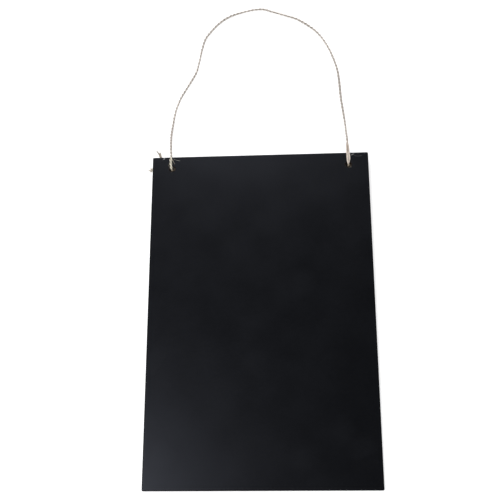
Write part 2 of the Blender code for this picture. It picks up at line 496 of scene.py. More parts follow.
@dataclass(frozen=True)
class Softbox:
    """One large soft lamp, aimed at the board."""

    name: str
    place: Place
    size: float
    power: float
    colour: Colour = (1.0, 1.0, 1.0)
    target: Place = (0.0, 0.05, 0.0)

    def build(self) -> None:
        """Make the lamp."""
        data = bpy.data.lights.new(self.name, "AREA")
        data.shape = "DISK"
        data.size = self.size
        data.energy = self.power
        data.color = self.colour
        lamp = add_to_scene(self.name, data)
        aim = Vector(self.target) - Vector(self.place)
        lamp.location = self.place
        lamp.rotation_euler = aim.to_track_quat("-Z", "Y").to_euler()


@dataclass(frozen=True)
class Studio:
    """A plain white studio: a floor, a soft surround and soft lamps."""

    floor_size: float = 8.0
    floor_drop: float = 0.00002
    floor_tone: float = 0.82
    # Painted shade: the floor's tone under the board.
    under_board_painted_shade: float = 0.18
    floor_glow: float = 0.62
    glow_inset: float = 0.004
    surround_level: float = 1.17
    ceiling_level: float = 0.01
    darkening: Range = (0.417, 0.742)
    lamps: tuple[Softbox, ...] = (
        Softbox("left_softbox", (-0.732, -0.348, 1.664), 0.60, 12.9),
        Softbox("far_softbox", (-0.222, 1.531, 1.520), 0.90, 18.6),
    )

    def build(self, space: BoardSpace) -> None:
        """Make the floor, the surround and the lamps, and set the plain view.

        Args:
            space: The board's place, under which the floor is painted dark as painted shade.
        """
        floor_mesh = bpy.data.meshes.new("floor")
        half = self.floor_size / 2
        corners = [(-half, -half), (half, -half), (half, half), (-half, half)]
        places = [(x, y, -self.floor_drop) for x, y in corners]
        floor_mesh.from_pydata(places, [], [(0, 1, 2, 3)])
        floor_mesh.materials.append(self.floor_material(space))
        floor = add_to_scene("floor", floor_mesh)
        for lamp in self.lamps:
            lamp.build()
        self.surround()
        bpy.context.scene.view_settings.view_transform = "Standard"

    def clear_of_board(self, sheet: NodeSheet, space: BoardSpace) -> Socket:
        """Find where the floor is clear of the board.

        Args:
            sheet: The floor's nodes.
            space: The board's sizes.

        Returns:
            One where the floor is clear, and nothing well under the board.
        """
        place = sheet.out("ShaderNodeTexCoord", None, None, "Object")
        parts = sheet.add("ShaderNodeSeparateXYZ", None, {"Vector": place})
        outside = None
        for axis, size in (("X", space.width), ("Y", space.height)):
            reach = sheet.calc("ABSOLUTE", parts.outputs[axis])
            past = sheet.calc("GREATER_THAN", reach, size / 2 - self.glow_inset)
            outside = past if outside is None else sheet.calc("MAXIMUM", outside, past)
        return outside

    def floor_material(self, space: BoardSpace) -> bpy.types.Material:
        """White that a viewer sees as white, and that still takes a shadow.

        Args:
            space: The board's sizes, for the painted shade on the floor under it.

        Returns:
            The material.
        """
        material = bpy.data.materials.new("white_floor")
        material.use_nodes = True
        sheet = NodeSheet(material.node_tree)
        sheet.tree.nodes.clear()
        clear = self.clear_of_board(sheet, space)
        # Painted shade: the floor's colour is dark under the board.
        floor_tone_with_painted_shade = sheet.stretched(clear, (0.0, 1.0), self.under_board_painted_shade, self.floor_tone)
        colour = sheet.out("ShaderNodeCombineColor", None, {0: floor_tone_with_painted_shade, 1: floor_tone_with_painted_shade, 2: floor_tone_with_painted_shade})
        matt = sheet.out("ShaderNodeBsdfDiffuse", None, {"Color": colour})
        glow = sheet.out("ShaderNodeEmission", None, {"Strength": self.floor_glow})
        rays = sheet.add("ShaderNodeLightPath")
        seen = sheet.calc("MAXIMUM", rays.outputs["Is Camera Ray"], rays.outputs["Is Glossy Ray"])
        seen = sheet.calc("MAXIMUM", seen, rays.outputs["Is Transmission Ray"])
        # The glow stays off under the board, so the floor there shows painted shade.
        seen = sheet.calc("MULTIPLY", seen, clear)
        lit = sheet.out("ShaderNodeAddShader", None, {0: matt, 1: glow})
        both = sheet.out("ShaderNodeMixShader", None, {0: seen, 1: matt, 2: lit})
        sheet.add("ShaderNodeOutputMaterial", None, {"Surface": both})
        return material

    def surround(self) -> None:
        """A bright horizon that darkens softly towards the ceiling."""
        world = bpy.data.worlds.new("studio")
        world.use_nodes = True
        sheet = NodeSheet(world.node_tree)
        sheet.tree.nodes.clear()
        way = sheet.out("ShaderNodeTexCoord", None, None, "Generated")
        height = sheet.out("ShaderNodeSeparateXYZ", None, {"Vector": way}, "Z")
        level = sheet.stretched(height, self.darkening, self.surround_level, self.ceiling_level)
        light = sheet.out("ShaderNodeBackground", None, {"Strength": level})
        sheet.add("ShaderNodeOutputWorld", None, {"Surface": light})
        bpy.context.scene.world = world


@dataclass(frozen=True)
class PaintFinish:
    """Matt black chalkboard paint, rolled on."""

    deep: Colour = (0.0028, 0.0030, 0.0037)
    worn: Colour = (0.0058, 0.0062, 0.0074)
    gloss_tint: Colour = (0.78, 0.83, 1.0)
    roughness: Range = (0.29, 0.37)
    gloss: float = 0.228
    clouds: Grain = Grain(1 / 0.030, 2.0, 0.4)
    stipple: Grain = Grain(1 / 0.0009, 3.0, 0.6)
    grain: Grain = Grain(1 / 0.00030)
    cloud_range: Range = (0.35, 0.68)
    speck_range: Range = (0.38, 0.66)
    mark_spacing: float = 0.042
    mark_radius: float = 0.0115
    mark_fade: Range = (0.55, 1.25)
    mark_chance: Range = (0.25, 1.0)
    mark_lift: float = 0.55
    bump_height: float = 0.000010
    cloud_share: float = 0.13
    speck_share: float = 0.40
    dull_speck_share: float = 0.6
    dull_cloud_share: float = 0.4
    grain_bump_share: float = 0.35
    chip_range: Range = (0.40, 0.62)
    chip_reach: float = 0.0009
    chip_shade: Colour = (0.028, 0.017, 0.010)

    def material(self, space: BoardSpace) -> bpy.types.Material:
        """Make the paint.

        Args:
            space: The board's place, in which the pattern lies.

        Returns:
            The material.
        """
        sheet = MaterialSheet("matt_black_paint")
        turned = board_coordinates(sheet, space)
        stipple = sheet.noise(turned, self.stipple)
        grain = sheet.noise(turned, self.grain)
        cloud = sheet.stretched(sheet.noise(turned, self.clouds), self.cloud_range)
        speck = sheet.stretched(stipple, self.speck_range)
        share = sheet.calc("MULTIPLY", speck, self.speck_share)
        share = sheet.calc("MULTIPLY_ADD", cloud, self.cloud_share, share)
        share = sheet.calc("MULTIPLY_ADD", self.marks(sheet, turned), self.mark_lift, share)
        paint = sheet.mix(share, self.deep, self.worn)
        chips = self.chips(sheet, turned, stipple, space)
        sheet.shade("Base Color", sheet.mix(chips, paint, self.chip_shade))
        dull = sheet.calc("MULTIPLY", cloud, self.dull_cloud_share)
        dull = sheet.calc("MULTIPLY_ADD", speck, self.dull_speck_share, dull)
        sheet.shade("Roughness", sheet.stretched(dull, (0.0, 1.0), *self.roughness))
        sheet.shade("Specular IOR Level", self.gloss)
        sheet.shade("Specular Tint", opaque(self.gloss_tint))
        height = sheet.calc("MULTIPLY_ADD", grain, self.grain_bump_share, stipple)
        sheet.shade("Normal", sheet.bump(height, self.bump_height, 1.0))
        return sheet.material

    def marks(self, sheet: MaterialSheet, turned: object) -> Socket:
        """Soft round handling marks, here and there.

        Args:
            sheet: The paint's nodes.
            turned: Coordinates in the board's frame.

        Returns:
            How strong the marks are.
        """
        cell = {"feature": "F1", "voronoi_dimensions": "2D"}
        inputs = {"Vector": turned, "Scale": 1 / self.mark_spacing, "Randomness": 1.0}
        spots = sheet.add("ShaderNodeTexVoronoi", cell, inputs)
        radius = self.mark_radius / self.mark_spacing
        fade = tuple(radius * share for share in self.mark_fade)
        spot = sheet.stretched(spots.outputs["Distance"], fade, 1.0, 0.0)
        chance = sheet.out("ShaderNodeSeparateColor", None, {"Color": spots.outputs["Color"]}, 0)
        return sheet.calc("MULTIPLY", spot, sheet.stretched(chance, self.mark_chance))

    def chips(
        self, sheet: MaterialSheet, turned: object, ragged: object, space: BoardSpace
    ) -> Socket:
        """Paint that the drill chipped off round the holes.

        Args:
            sheet: The paint's nodes.
            turned: Coordinates in the board's frame.
            ragged: A fine noise that breaks the chips' outline.
            space: Where the holes are.

        Returns:
            One where the board is bare, and nothing where it is painted.
        """
        parts = sheet.add("ShaderNodeSeparateXYZ", None, {"Vector": turned})
        across = sheet.calc("ABSOLUTE", parts.outputs["X"])
        across = sheet.calc("SUBTRACT", across, space.hole_x)
        up = sheet.calc("SUBTRACT", parts.outputs["Y"], space.hole_y)
        squares = [sheet.calc("POWER", part, 2.0) for part in (across, up)]
        away = sheet.calc("SQRT", sheet.calc("ADD", *squares))
        past = sheet.calc("SUBTRACT", away, space.hole_diameter / 2)
        width = sheet.stretched(ragged, self.chip_range, 0.0, self.chip_reach)
        return sheet.calc("LESS_THAN", past, width)


def board_coordinates(sheet: NodeSheet, space: BoardSpace) -> Socket:
    """Object coordinates turned into the board's own frame.

    Args:
        sheet: The material's nodes.
        space: The board's place.

    Returns:
        The turned coordinates.
    """
    seen = sheet.out("ShaderNodeTexCoord", None, None, "Object")
    settings = {"vector_type": "TEXTURE"}
    place = space.place()
    inputs = {
        "Vector": seen,
        "Location": tuple(place.to_translation()),
        "Rotation": tuple(place.to_euler()),
    }
    return sheet.out("ShaderNodeMapping", settings, inputs)


@dataclass(frozen=True)
class BareBoardFinish:
    """Bare brown fibreboard, as the drill leaves it, with a little paint run over its rim; its browns are
    darker than the board's own, as painted shade in the holes.
    """

    # Both browns are the bare board's own colour, darkened as painted shade for the holes' depth.
    core: Colour = (0.105, 0.058, 0.028)
    shade: Colour = (0.036, 0.019, 0.009)
    paint: Colour = (0.008, 0.008, 0.009)
    fibres: Grain = Grain(1 / 0.0005, 4.0, 0.65)
    fibre_range: Range = (0.3, 0.7)
    roughness: Range = (0.95, 0.75)
    gloss: float = 0.25
    paint_depth: float = 0.0009
    bump_height: float = 0.0001

    def material(self, space: BoardSpace) -> bpy.types.Material:
        """Make the bare board.

        Args:
            space: The board's place and thickness.

        Returns:
            The material.
        """
        sheet = MaterialSheet("bare_fibreboard")
        turned = board_coordinates(sheet, space)
        fibres = sheet.noise(turned, self.fibres)
        colour = sheet.mix(sheet.stretched(fibres, self.fibre_range), self.shade, self.core)
        height = sheet.out("ShaderNodeSeparateXYZ", None, {"Vector": turned}, "Z")
        ragged = sheet.calc("MULTIPLY_ADD", fibres, self.paint_depth, height)
        start = space.thickness - self.paint_depth / 2
        painted = sheet.stretched(ragged, (start, start + self.paint_depth / 2))
        sheet.shade("Base Color", sheet.mix(painted, colour, self.paint))
        sheet.shade("Roughness", sheet.stretched(fibres, self.fibre_range, *self.roughness))
        sheet.shade("Specular IOR Level", self.gloss)
        sheet.shade("Normal", sheet.bump(fibres, self.bump_height, 1.0))
        return sheet.material


@dataclass(frozen=True)
class JuteFinish:
    """Natural jute, coloured along the twine by an attribute and streaked along its fibres."""

    name: str = "jute_twine"
    levels: Range = (0.42, 1.30)
    roughness: float = 0.88
    gloss: float = 0.22
    sheen: float = 0.25
    bump_height: float = 0.00007
    streaks: Grain = Grain(2.6, 3.0, 0.6)
    fine_streaks: Grain = Grain(7.0, 2.0, 0.6)
    streak_share: float = 0.6
    fine_share: float = 0.4
    streak_range: Range = (0.33, 0.67)

    def material(self) -> bpy.types.Material:
        """Make the jute.

        Returns:
            The material.
        """
        sheet = MaterialSheet(self.name)
        way = sheet.out("ShaderNodeAttribute", {"attribute_name": "fibre_way"}, None, "Vector")
        tint = sheet.out("ShaderNodeAttribute", {"attribute_name": "tint"}, None, "Vector")
        streaks = sheet.calc("MULTIPLY", sheet.noise(way, self.streaks), self.streak_share)
        fine = sheet.noise(way, self.fine_streaks)
        blended = sheet.calc("MULTIPLY_ADD", fine, self.fine_share, streaks)
        level = sheet.stretched(blended, self.streak_range, *self.levels)
        grey = sheet.out("ShaderNodeCombineColor", None, {0: level, 1: level, 2: level})
        sheet.shade("Base Color", sheet.times(tint, grey))
        sheet.shade("Roughness", self.roughness)
        sheet.shade("Specular IOR Level", self.gloss)
        sheet.shade("Sheen Weight", self.sheen)
        sheet.shade("Normal", sheet.bump(blended, self.bump_height, 1.0))
        return sheet.material


@dataclass(frozen=True)
class TwineTints:
    """The colours of the twine's stretches."""

    loop: Colour = (0.785, 0.715, 0.655)
    left_strand: Colour = (0.950, 0.885, 0.735)
    right_strand: Colour = (0.900, 0.790, 0.695)
    right_neck: Colour = (0.665, 0.560, 0.480)
    # The knots' own tone, also blended in as painted shade where the strands go down the holes.
    knot_tone_and_hole_shade: Colour = (0.420, 0.335, 0.230)


@dataclass
class PaintedBoard:
    """The board: rounded corners, eased arrises and two drilled holes with slightly torn rims."""

    space: BoardSpace
    outset: float = 0.0006
    corner_radius: float = 0.0012
    arris_radius: float = 0.0008
    corner_segments: int = 8
    arris_segments: int = 6
    hole_segments: int = 72
    cut_overrun: float = 0.002
    rim_width: float = 0.00022
    rim_segments: int = 2
    rim_wander: float = 0.00009
    rim_waves: tuple[tuple[float, int, int, int], ...] = (
        (1.0, 3, 1, 2),
        (0.7, 7, 2, -3),
        (0.5, 13, -1, 5),
    )
    wall_share: float = 0.85
    smooth_angle: float = math.radians(35)
    flat_share: float = 0.9999

    def build(self) -> bpy.types.Object:
        """Make the board's mesh, in the world, with its two materials.

        Returns:
            The painted board.
        """
        blank = add_to_scene("board_blank", self.blank_mesh())
        cutters = [self.cutter(side) for side in Side]
        for cutter in cutters:
            cut = blank.modifiers.new(cutter.name, "BOOLEAN")
            cut.operation = "DIFFERENCE"
            cut.object = cutter
        graph = bpy.context.evaluated_depsgraph_get()
        mesh = bpy.data.meshes.new_from_object(blank.evaluated_get(graph), depsgraph=graph)
        for item in (blank, *cutters):
            bpy.data.objects.remove(item, do_unlink=True)
        mesh.name = "painted_board"
        self.ease_rims(mesh)
        mesh.materials.append(PaintFinish().material(self.space))
        mesh.materials.append(BareBoardFinish().material(self.space))
        mesh.set_sharp_from_angle(angle=self.smooth_angle)
        for face in mesh.polygons:
            face.use_smooth = max(abs(part) for part in face.normal) < self.flat_share
        mesh.transform(self.space.place())
        piece = add_to_scene("painted_board", mesh)
        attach(piece, Body.BOARD.value)
        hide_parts("board_panel")
        return piece

    def blank_mesh(self) -> bpy.types.Mesh:
        """The board before it is drilled, in its own frame, with its outline a little outset.

        Returns:
            The mesh.
        """
        work = bmesh.new()
        bmesh.ops.create_cube(work, size=1)
        grown = 2 * self.outset
        size = Vector((self.space.width + grown, self.space.height + grown, self.space.thickness))
        bmesh.ops.scale(work, vec=size, verts=work.verts)
        lift = Vector((0, self.space.height / 2, self.space.thickness / 2))
        bmesh.ops.translate(work, vec=lift, verts=work.verts)
        upright = [edge for edge in work.edges if self.is_upright(edge)]
        round_edges(work, upright, self.corner_radius, self.corner_segments)
        rims = [edge for edge in work.edges if self.is_rim(edge)]
        round_edges(work, rims, self.arris_radius, self.arris_segments)
        mesh = bpy.data.meshes.new("board_blank")
        work.to_mesh(mesh)
        work.free()
        return mesh

    def is_upright(self, edge: bmesh.types.BMEdge) -> bool:
        """Whether an edge runs through the board's thickness."""
        along = edge.verts[1].co - edge.verts[0].co
        return abs(along.z) > self.space.thickness / 2

    def is_rim(self, edge: bmesh.types.BMEdge) -> bool:
        """Whether an edge borders the board's face or its back."""
        tilts = {round(abs(face.normal.z)) for face in edge.link_faces}
        return not self.is_upright(edge) and len(tilts) == 2

    def cutter(self, side: Side) -> bpy.types.Object:
        """A round cutter through one hole.

        Args:
            side: Which hole it cuts.

        Returns:
            The cutter.
        """
        work = bmesh.new()
        radius = self.space.hole_diameter / 2
        bmesh.ops.create_cone(
            work,
            cap_ends=True,
            segments=self.hole_segments,
            radius1=radius,
            radius2=radius,
            depth=self.space.thickness + 2 * self.cut_overrun,
        )
        middle = Vector((side.value * self.space.hole_x, self.space.hole_y, self.space.thickness / 2))
        bmesh.ops.translate(work, vec=middle, verts=work.verts)
        mesh = bpy.data.meshes.new(f"{side.name.lower()}_hole_cutter")
        work.to_mesh(mesh)
        work.free()
        return add_to_scene(mesh.name, mesh)

    def hole_distance(self, place: Vector) -> float:
        """How far a place is from the nearer hole's axis."""
        return math.hypot(abs(place.x) - self.space.hole_x, place.y - self.space.hole_y)

    def ease_rims(self, mesh: bpy.types.Mesh) -> None:
        """Break the holes' sharp rims, make them wander, and give the walls the second material.

        Args:
            mesh: The drilled board, in its own frame.
        """
        work = bmesh.new()
        work.from_mesh(mesh)
        radius = self.space.hole_diameter / 2
        near = radius + self.rim_width
        rims = [
            edge
            for edge in work.edges
            if all(self.hole_distance(vert.co) < near for vert in edge.verts) and self.is_rim(edge)
        ]
        round_edges(work, rims, self.rim_width, self.rim_segments)
        for vert in work.verts:
            if self.hole_distance(vert.co) < radius + 2 * self.rim_width:
                vert.co += self.wander(vert.co)
        for face in work.faces:
            middle = face.calc_center_median()
            on_wall = self.hole_distance(middle) < radius + self.rim_width / 2
            face.material_index = 1 if on_wall and abs(face.normal.z) < self.wall_share else 0
        work.to_mesh(mesh)
        work.free()

    def wander(self, place: Vector) -> Vector:
        """A small outward shift that varies round a hole and through the board.

        Args:
            place: A place on a hole's wall or rim.

        Returns:
            The shift.
        """
        side = math.copysign(1, place.x)
        across = Vector((place.x - side * self.space.hole_x, place.y - self.space.hole_y, 0))
        angle = math.atan2(across.y, across.x)
        depth = place.z / self.space.thickness
        waves = sum(
            size * math.sin(count * angle + shift * side + drift * depth)
            for size, count, shift, drift in self.rim_waves
        )
        return across.normalized() * self.rim_wander * (1 + waves)


def round_edges(
    work: bmesh.types.BMesh, edges: list[bmesh.types.BMEdge], radius: float, segments: int
) -> None:
    """Round a set of edges.

    Args:
        work: The mesh that they belong to.
        edges: The edges.
        radius: How far the rounding reaches from each edge.
        segments: How many faces go round it.
    """
    bmesh.ops.bevel(
        work,
        geom=edges,
        offset=radius,
        offset_type="OFFSET",
        segments=segments,
        profile=0.5,
        affect="EDGES",
        clamp_overlap=True,
    )


def smooth_line(route: Sequence[Place] | np.ndarray, steps: int) -> np.ndarray:
    """Run a dense Catmull-Rom line through a route.

    Args:
        route: The places that the line goes through.
        steps: How many pieces each stretch is cut into.

    Returns:
        The line's places.
    """
    points = np.array([tuple(point) for point in route])
    padded = np.vstack([2 * points[0] - points[1], points, 2 * points[-1] - points[-2]])
    line = []
    for index in range(len(points) - 1):
        controls = padded[index : index + 4]
        knots = [0.0]
        for a, b in zip(controls[:-1], controls[1:]):
            knots.append(knots[-1] + math.sqrt(np.linalg.norm(b - a)))
        for at in np.linspace(knots[1], knots[2], steps, endpoint=False):
            line.append(catmull_point(controls, knots, at))
    line.append(points[-1])
    return np.array(line)


def catmull_point(controls: np.ndarray, knots: Sequence[float], at: float) -> np.ndarray:
    """One place on a Catmull-Rom stretch, by repeated blending of its four control points.

    Args:
        controls: The control points.
        knots: The number that belongs to each of them.
        at: A number between the middle two.

    Returns:
        The place.
    """
    layer = list(controls)
    for reach in (1, 2):
        layer = [
            blend_points(layer[i], layer[i + 1], knots[i], knots[i + reach], at)
            for i in range(len(layer) - 1)
        ]
    return blend_points(layer[0], layer[1], knots[1], knots[2], at)


def blend_points(start: np.ndarray, end: np.ndarray, low: float, high: float, at: float) -> np.ndarray:
    """The place between two others, as far along as a number is between two others."""
    share = (at - low) / (high - low)
    return (1 - share) * start + share * end


def distances_along(line: np.ndarray) -> np.ndarray:
    """How far along a line each of its points is."""
    steps = np.linalg.norm(np.diff(line, axis=0), axis=1)
    return np.concatenate([[0.0], np.cumsum(steps)])


def evenly_spaced(line: np.ndarray, spacing: float) -> np.ndarray:
    """The same line with its points about one spacing apart, its ends kept.

    Args:
        line: The line's places.
        spacing: How far apart the new places are.

    Returns:
        The new places.
    """
    along = distances_along(line)
    stops = np.linspace(0, along[-1], max(2, round(along[-1] / spacing) + 1))
    return np.stack([np.interp(stops, along, line[:, axis]) for axis in range(3)], axis=1)


def directions(line: np.ndarray) -> np.ndarray:
    """The unit direction of a line at each of its points."""
    steps = np.gradient(line, axis=0)
    return steps / np.linalg.norm(steps, axis=1)[:, None]


def side_ways(runs: np.ndarray, first: np.ndarray) -> np.ndarray:
    """Directions across a line that turn about it as little as they can, from a first one.

    Args:
        runs: The line's own direction at each point.
        first: The first direction across it.

    Returns:
        The direction across it at each point.
    """
    ways = []
    way = np.array(first, float)
    for run in runs:
        way = way - run * (way @ run)
        way = way / np.linalg.norm(way)
        ways.append(way)
    return np.array(ways)


def turned_level(runs: np.ndarray, sides: np.ndarray, anchor: int) -> np.ndarray:
    """The directions across a line, all turned alike until the one at an anchor points to +X.

    Args:
        runs: The line's own directions.
        sides: The directions across it.
        anchor: Which point is the anchor.

    Returns:
        The turned directions.
    """
    across = np.cross(runs, sides)
    turn = math.atan2(across[anchor][0], sides[anchor][0])
    return sides * math.cos(turn) + across * math.sin(turn)


@dataclass(frozen=True)
class StopperKnot:
    """An overhand knot behind one hole, as the part's source makes it."""

    space: BoardSpace
    side: Side
    end_length: float
    end_heading: float
    self_gap: float = 0.00045
    face_gap: float = 0.0004
    bend_radius: float = 0.002
    ring_share: float = 2.245
    winding_steps: int = 240
    bend_steps: int = 16

    def line(self) -> np.ndarray:
        """The knot's centreline in the world, from inside the hole to the cord's cut end.

        Returns:
            The centreline's places.
        """
        swing = self.space.cord_radius + self.self_gap / 2
        ring = self.ring_share * swing
        middle = -(self.face_gap + self.space.cord_radius + swing)
        sixth = math.pi / 3
        turns = np.linspace(sixth / 2, sixth / 2 + 5 * sixth, self.winding_steps)
        radii = ring + swing * np.cos(3 * turns)
        heights = middle + swing * np.sin(3 * turns)
        winding = np.stack([radii * np.cos(2 * turns), radii * np.sin(2 * turns), heights], axis=1)
        heading = level_direction(winding[0], winding[1])
        up = np.array([0.0, 0.0, 1.0])
        bend = [
            winding[0] - self.bend_radius * (heading * math.sin(angle) - up * (1 - math.cos(angle)))
            for angle in np.linspace(math.pi / 2, 0, self.bend_steps, endpoint=False)
        ]
        leaving = winding[-1] + self.end_length * level_direction(winding[-2], winding[-1])
        line = np.vstack([bend, winding, leaving])
        line = line - np.array([line[0][0], line[0][1], 0])
        turn = self.end_heading - math.atan2(line[-1][1], line[-1][0])
        spin = np.array(Matrix.Rotation(turn, 3, "Z"))
        return self.space.beside_hole(self.side, line @ spin.T)


def level_direction(start: np.ndarray, end: np.ndarray) -> np.ndarray:
    """The level unit direction from one place to another."""
    step = np.array([end[0] - start[0], end[1] - start[1], 0.0])
    return step / np.linalg.norm(step)


def line_mesh(
    name: str, lines: Sequence[np.ndarray], values: Mapping[str, Sequence[np.ndarray]]
) -> bpy.types.Mesh:
    """A mesh of open lines with named values on their points.

    Args:
        name: The mesh's name.
        lines: The places along each line.
        values: For each attribute, the values along each line.

    Returns:
        The mesh, with no faces.
    """
    mesh = bpy.data.meshes.new(name)
    edges = []
    start = 0
    for line in lines:
        edges += [(start + i, start + i + 1) for i in range(len(line) - 1)]
        start += len(line)
    mesh.from_pydata([tuple(place) for line in lines for place in line], edges, [])
    for label, arrays in values.items():
        flat = np.concatenate([np.asarray(array, np.float32) for array in arrays])
        kind = "FLOAT" if flat.ndim == 1 else "FLOAT_VECTOR"
        attribute = mesh.attributes.new(label, kind, "POINT")
        attribute.data.foreach_set("value" if flat.ndim == 1 else "vector", flat.ravel())
    return mesh


# The twine's slubs along each ply, its fibres' ridges, and how they run along and beside it.
SLUBS = Grain(scale=260.0, detail=1.0)
RIDGES = Grain(scale=2.2, detail=2.0, roughness=0.6)
FIBRE_RUN = 150.0
PLY_SHIFT = 7.0
VALLEY_RANGE: Range = (0.30, 0.74)


def laid_twine_tree() -> GeometrySheet:
    """A tree that lays plies round a line, with their fibres' ridges and painted shade in the valleys
    between.

    Returns:
        The tree.
    """
    sheet = GeometrySheet(
        "laid_twine",
        {
            "Plies": "int",
            "Sides": "int",
            "Ridge Share": "float",
            "Slub Share": "float",
            "Valley Shade": "float",
            "Fibre Turns": "float",
            "Material": "material",
        },
    )
    line = sheet.out("GeometryNodeMeshToCurve", None, {"Mesh": sheet.given("Geometry")})
    copies = sheet.add(
        "GeometryNodeDuplicateElements",
        {"domain": "SPLINE"},
        {"Geometry": line, "Amount": sheet.given("Plies")},
    )
    number = copies.outputs["Duplicate Index"]
    plies = sheet.keep(copies.outputs["Geometry"], "ply_number", "FLOAT", number)
    here = sheet.out("GeometryNodeInputPosition")
    plies = sheet.keep(plies, "core_place", "FLOAT_VECTOR", here)
    number = sheet.named("ply_number")
    turn = sheet.calc("DIVIDE", sheet.calc("MULTIPLY", number, FULL_TURN), sheet.given("Plies"))
    turn = sheet.calc("ADD", turn, sheet.named("twist"))
    side = sheet.named("side_way", "FLOAT_VECTOR")
    run = sheet.named("run_way", "FLOAT_VECTOR")
    across = sheet.vector("CROSS_PRODUCT", run, side)
    flat = sheet.calc("MULTIPLY", sheet.calc("SINE", turn), sheet.named("flatness"))
    level = scaled(sheet, side, sheet.calc("COSINE", turn))
    offset = sheet.vector("ADD", level, scaled(sheet, across, flat))
    offset = scaled(sheet, offset, sheet.named("lay_radius"))
    plies = sheet.moved(plies, offset)
    length = sheet.out("GeometryNodeSplineParameter", None, None, "Length")
    plies = sheet.keep(plies, "length_along", "FLOAT", length)

    profile = sheet.out(
        "GeometryNodeCurvePrimitiveCircle",
        {"mode": "RADIUS"},
        {"Resolution": sheet.given("Sides"), "Radius": 1.0},
    )
    rim = sheet.out("GeometryNodeInputPosition")
    profile = sheet.keep(profile, "round_way", "FLOAT_VECTOR", rim)
    spot = sheet.out("ShaderNodeCombineXYZ", None, {"X": sheet.named("length_along"), "Y": number})
    slub = sheet.calc("SUBTRACT", sheet.noise(spot, SLUBS), 0.5)
    swell = sheet.calc("MULTIPLY", slub, sheet.given("Slub Share"))
    radius = sheet.calc("MULTIPLY", sheet.named("ply_radius"), sheet.calc("ADD", swell, 1.0))
    tube = sheet.swept(plies, profile, radius)

    along = sheet.named("length_along")
    spin = sheet.calc("MULTIPLY", along, sheet.given("Fibre Turns"))
    turned = sheet.out(
        "ShaderNodeVectorRotate",
        {"rotation_type": "Z_AXIS"},
        {"Vector": sheet.named("round_way", "FLOAT_VECTOR"), "Angle": spin},
    )
    shift = sheet.calc("MULTIPLY_ADD", number, PLY_SHIFT, sheet.calc("MULTIPLY", along, FIBRE_RUN))
    way = sheet.vector("ADD", turned, sheet.out("ShaderNodeCombineXYZ", None, {"Z": shift}))
    tube = sheet.keep(tube, "fibre_way", "FLOAT_VECTOR", way)
    ridges = sheet.noise(sheet.named("fibre_way", "FLOAT_VECTOR"), RIDGES)
    rise = sheet.calc("MULTIPLY", sheet.calc("SUBTRACT", ridges, 0.5), sheet.given("Ridge Share"))
    rise = sheet.calc("MULTIPLY", rise, sheet.named("ply_radius"))
    normal = sheet.out("GeometryNodeInputNormal")
    tube = sheet.moved(tube, scaled(sheet, normal, rise))
    # Painted shade: the tint darkens where the surface lies near the core, in the valleys between the
    # plies.
    away = sheet.vector("DISTANCE", here, sheet.named("core_place", "FLOAT_VECTOR"))
    reach = sheet.calc("ADD", sheet.named("lay_radius"), sheet.named("ply_radius"))
    away = sheet.calc("DIVIDE", away, reach)
    deepest = sheet.calc("DIVIDE", sheet.given("Valley Shade"), sheet.named("flatness"))
    shade = sheet.stretched(away, VALLEY_RANGE, deepest)
    tint = scaled(sheet, sheet.named("tint", "FLOAT_VECTOR"), shade)
    sheet.end(sheet.keep(tube, "tint", "FLOAT_VECTOR", tint))
    return sheet


def scaled(sheet: NodeSheet, vector: object, factor: object) -> Socket:
    """A vector times a number."""
    return sheet.out("ShaderNodeVectorMath", {"operation": "SCALE"}, {"Vector": vector, "Scale": factor})


# A stray fibre one long: its bow and its tip, how it leans, and how its length and girth vary.
HAIR_MIDDLE: Place = (0.0, 0.0, 0.55)
HAIR_TIP: Place = (0.34, 0.0, 0.94)
HAIR_LIFT: Range = (0.1, 1.0)
HAIR_SHAKE = 0.3
HAIR_SHORTNESS = 2.2
HAIR_TAPER = 0.7


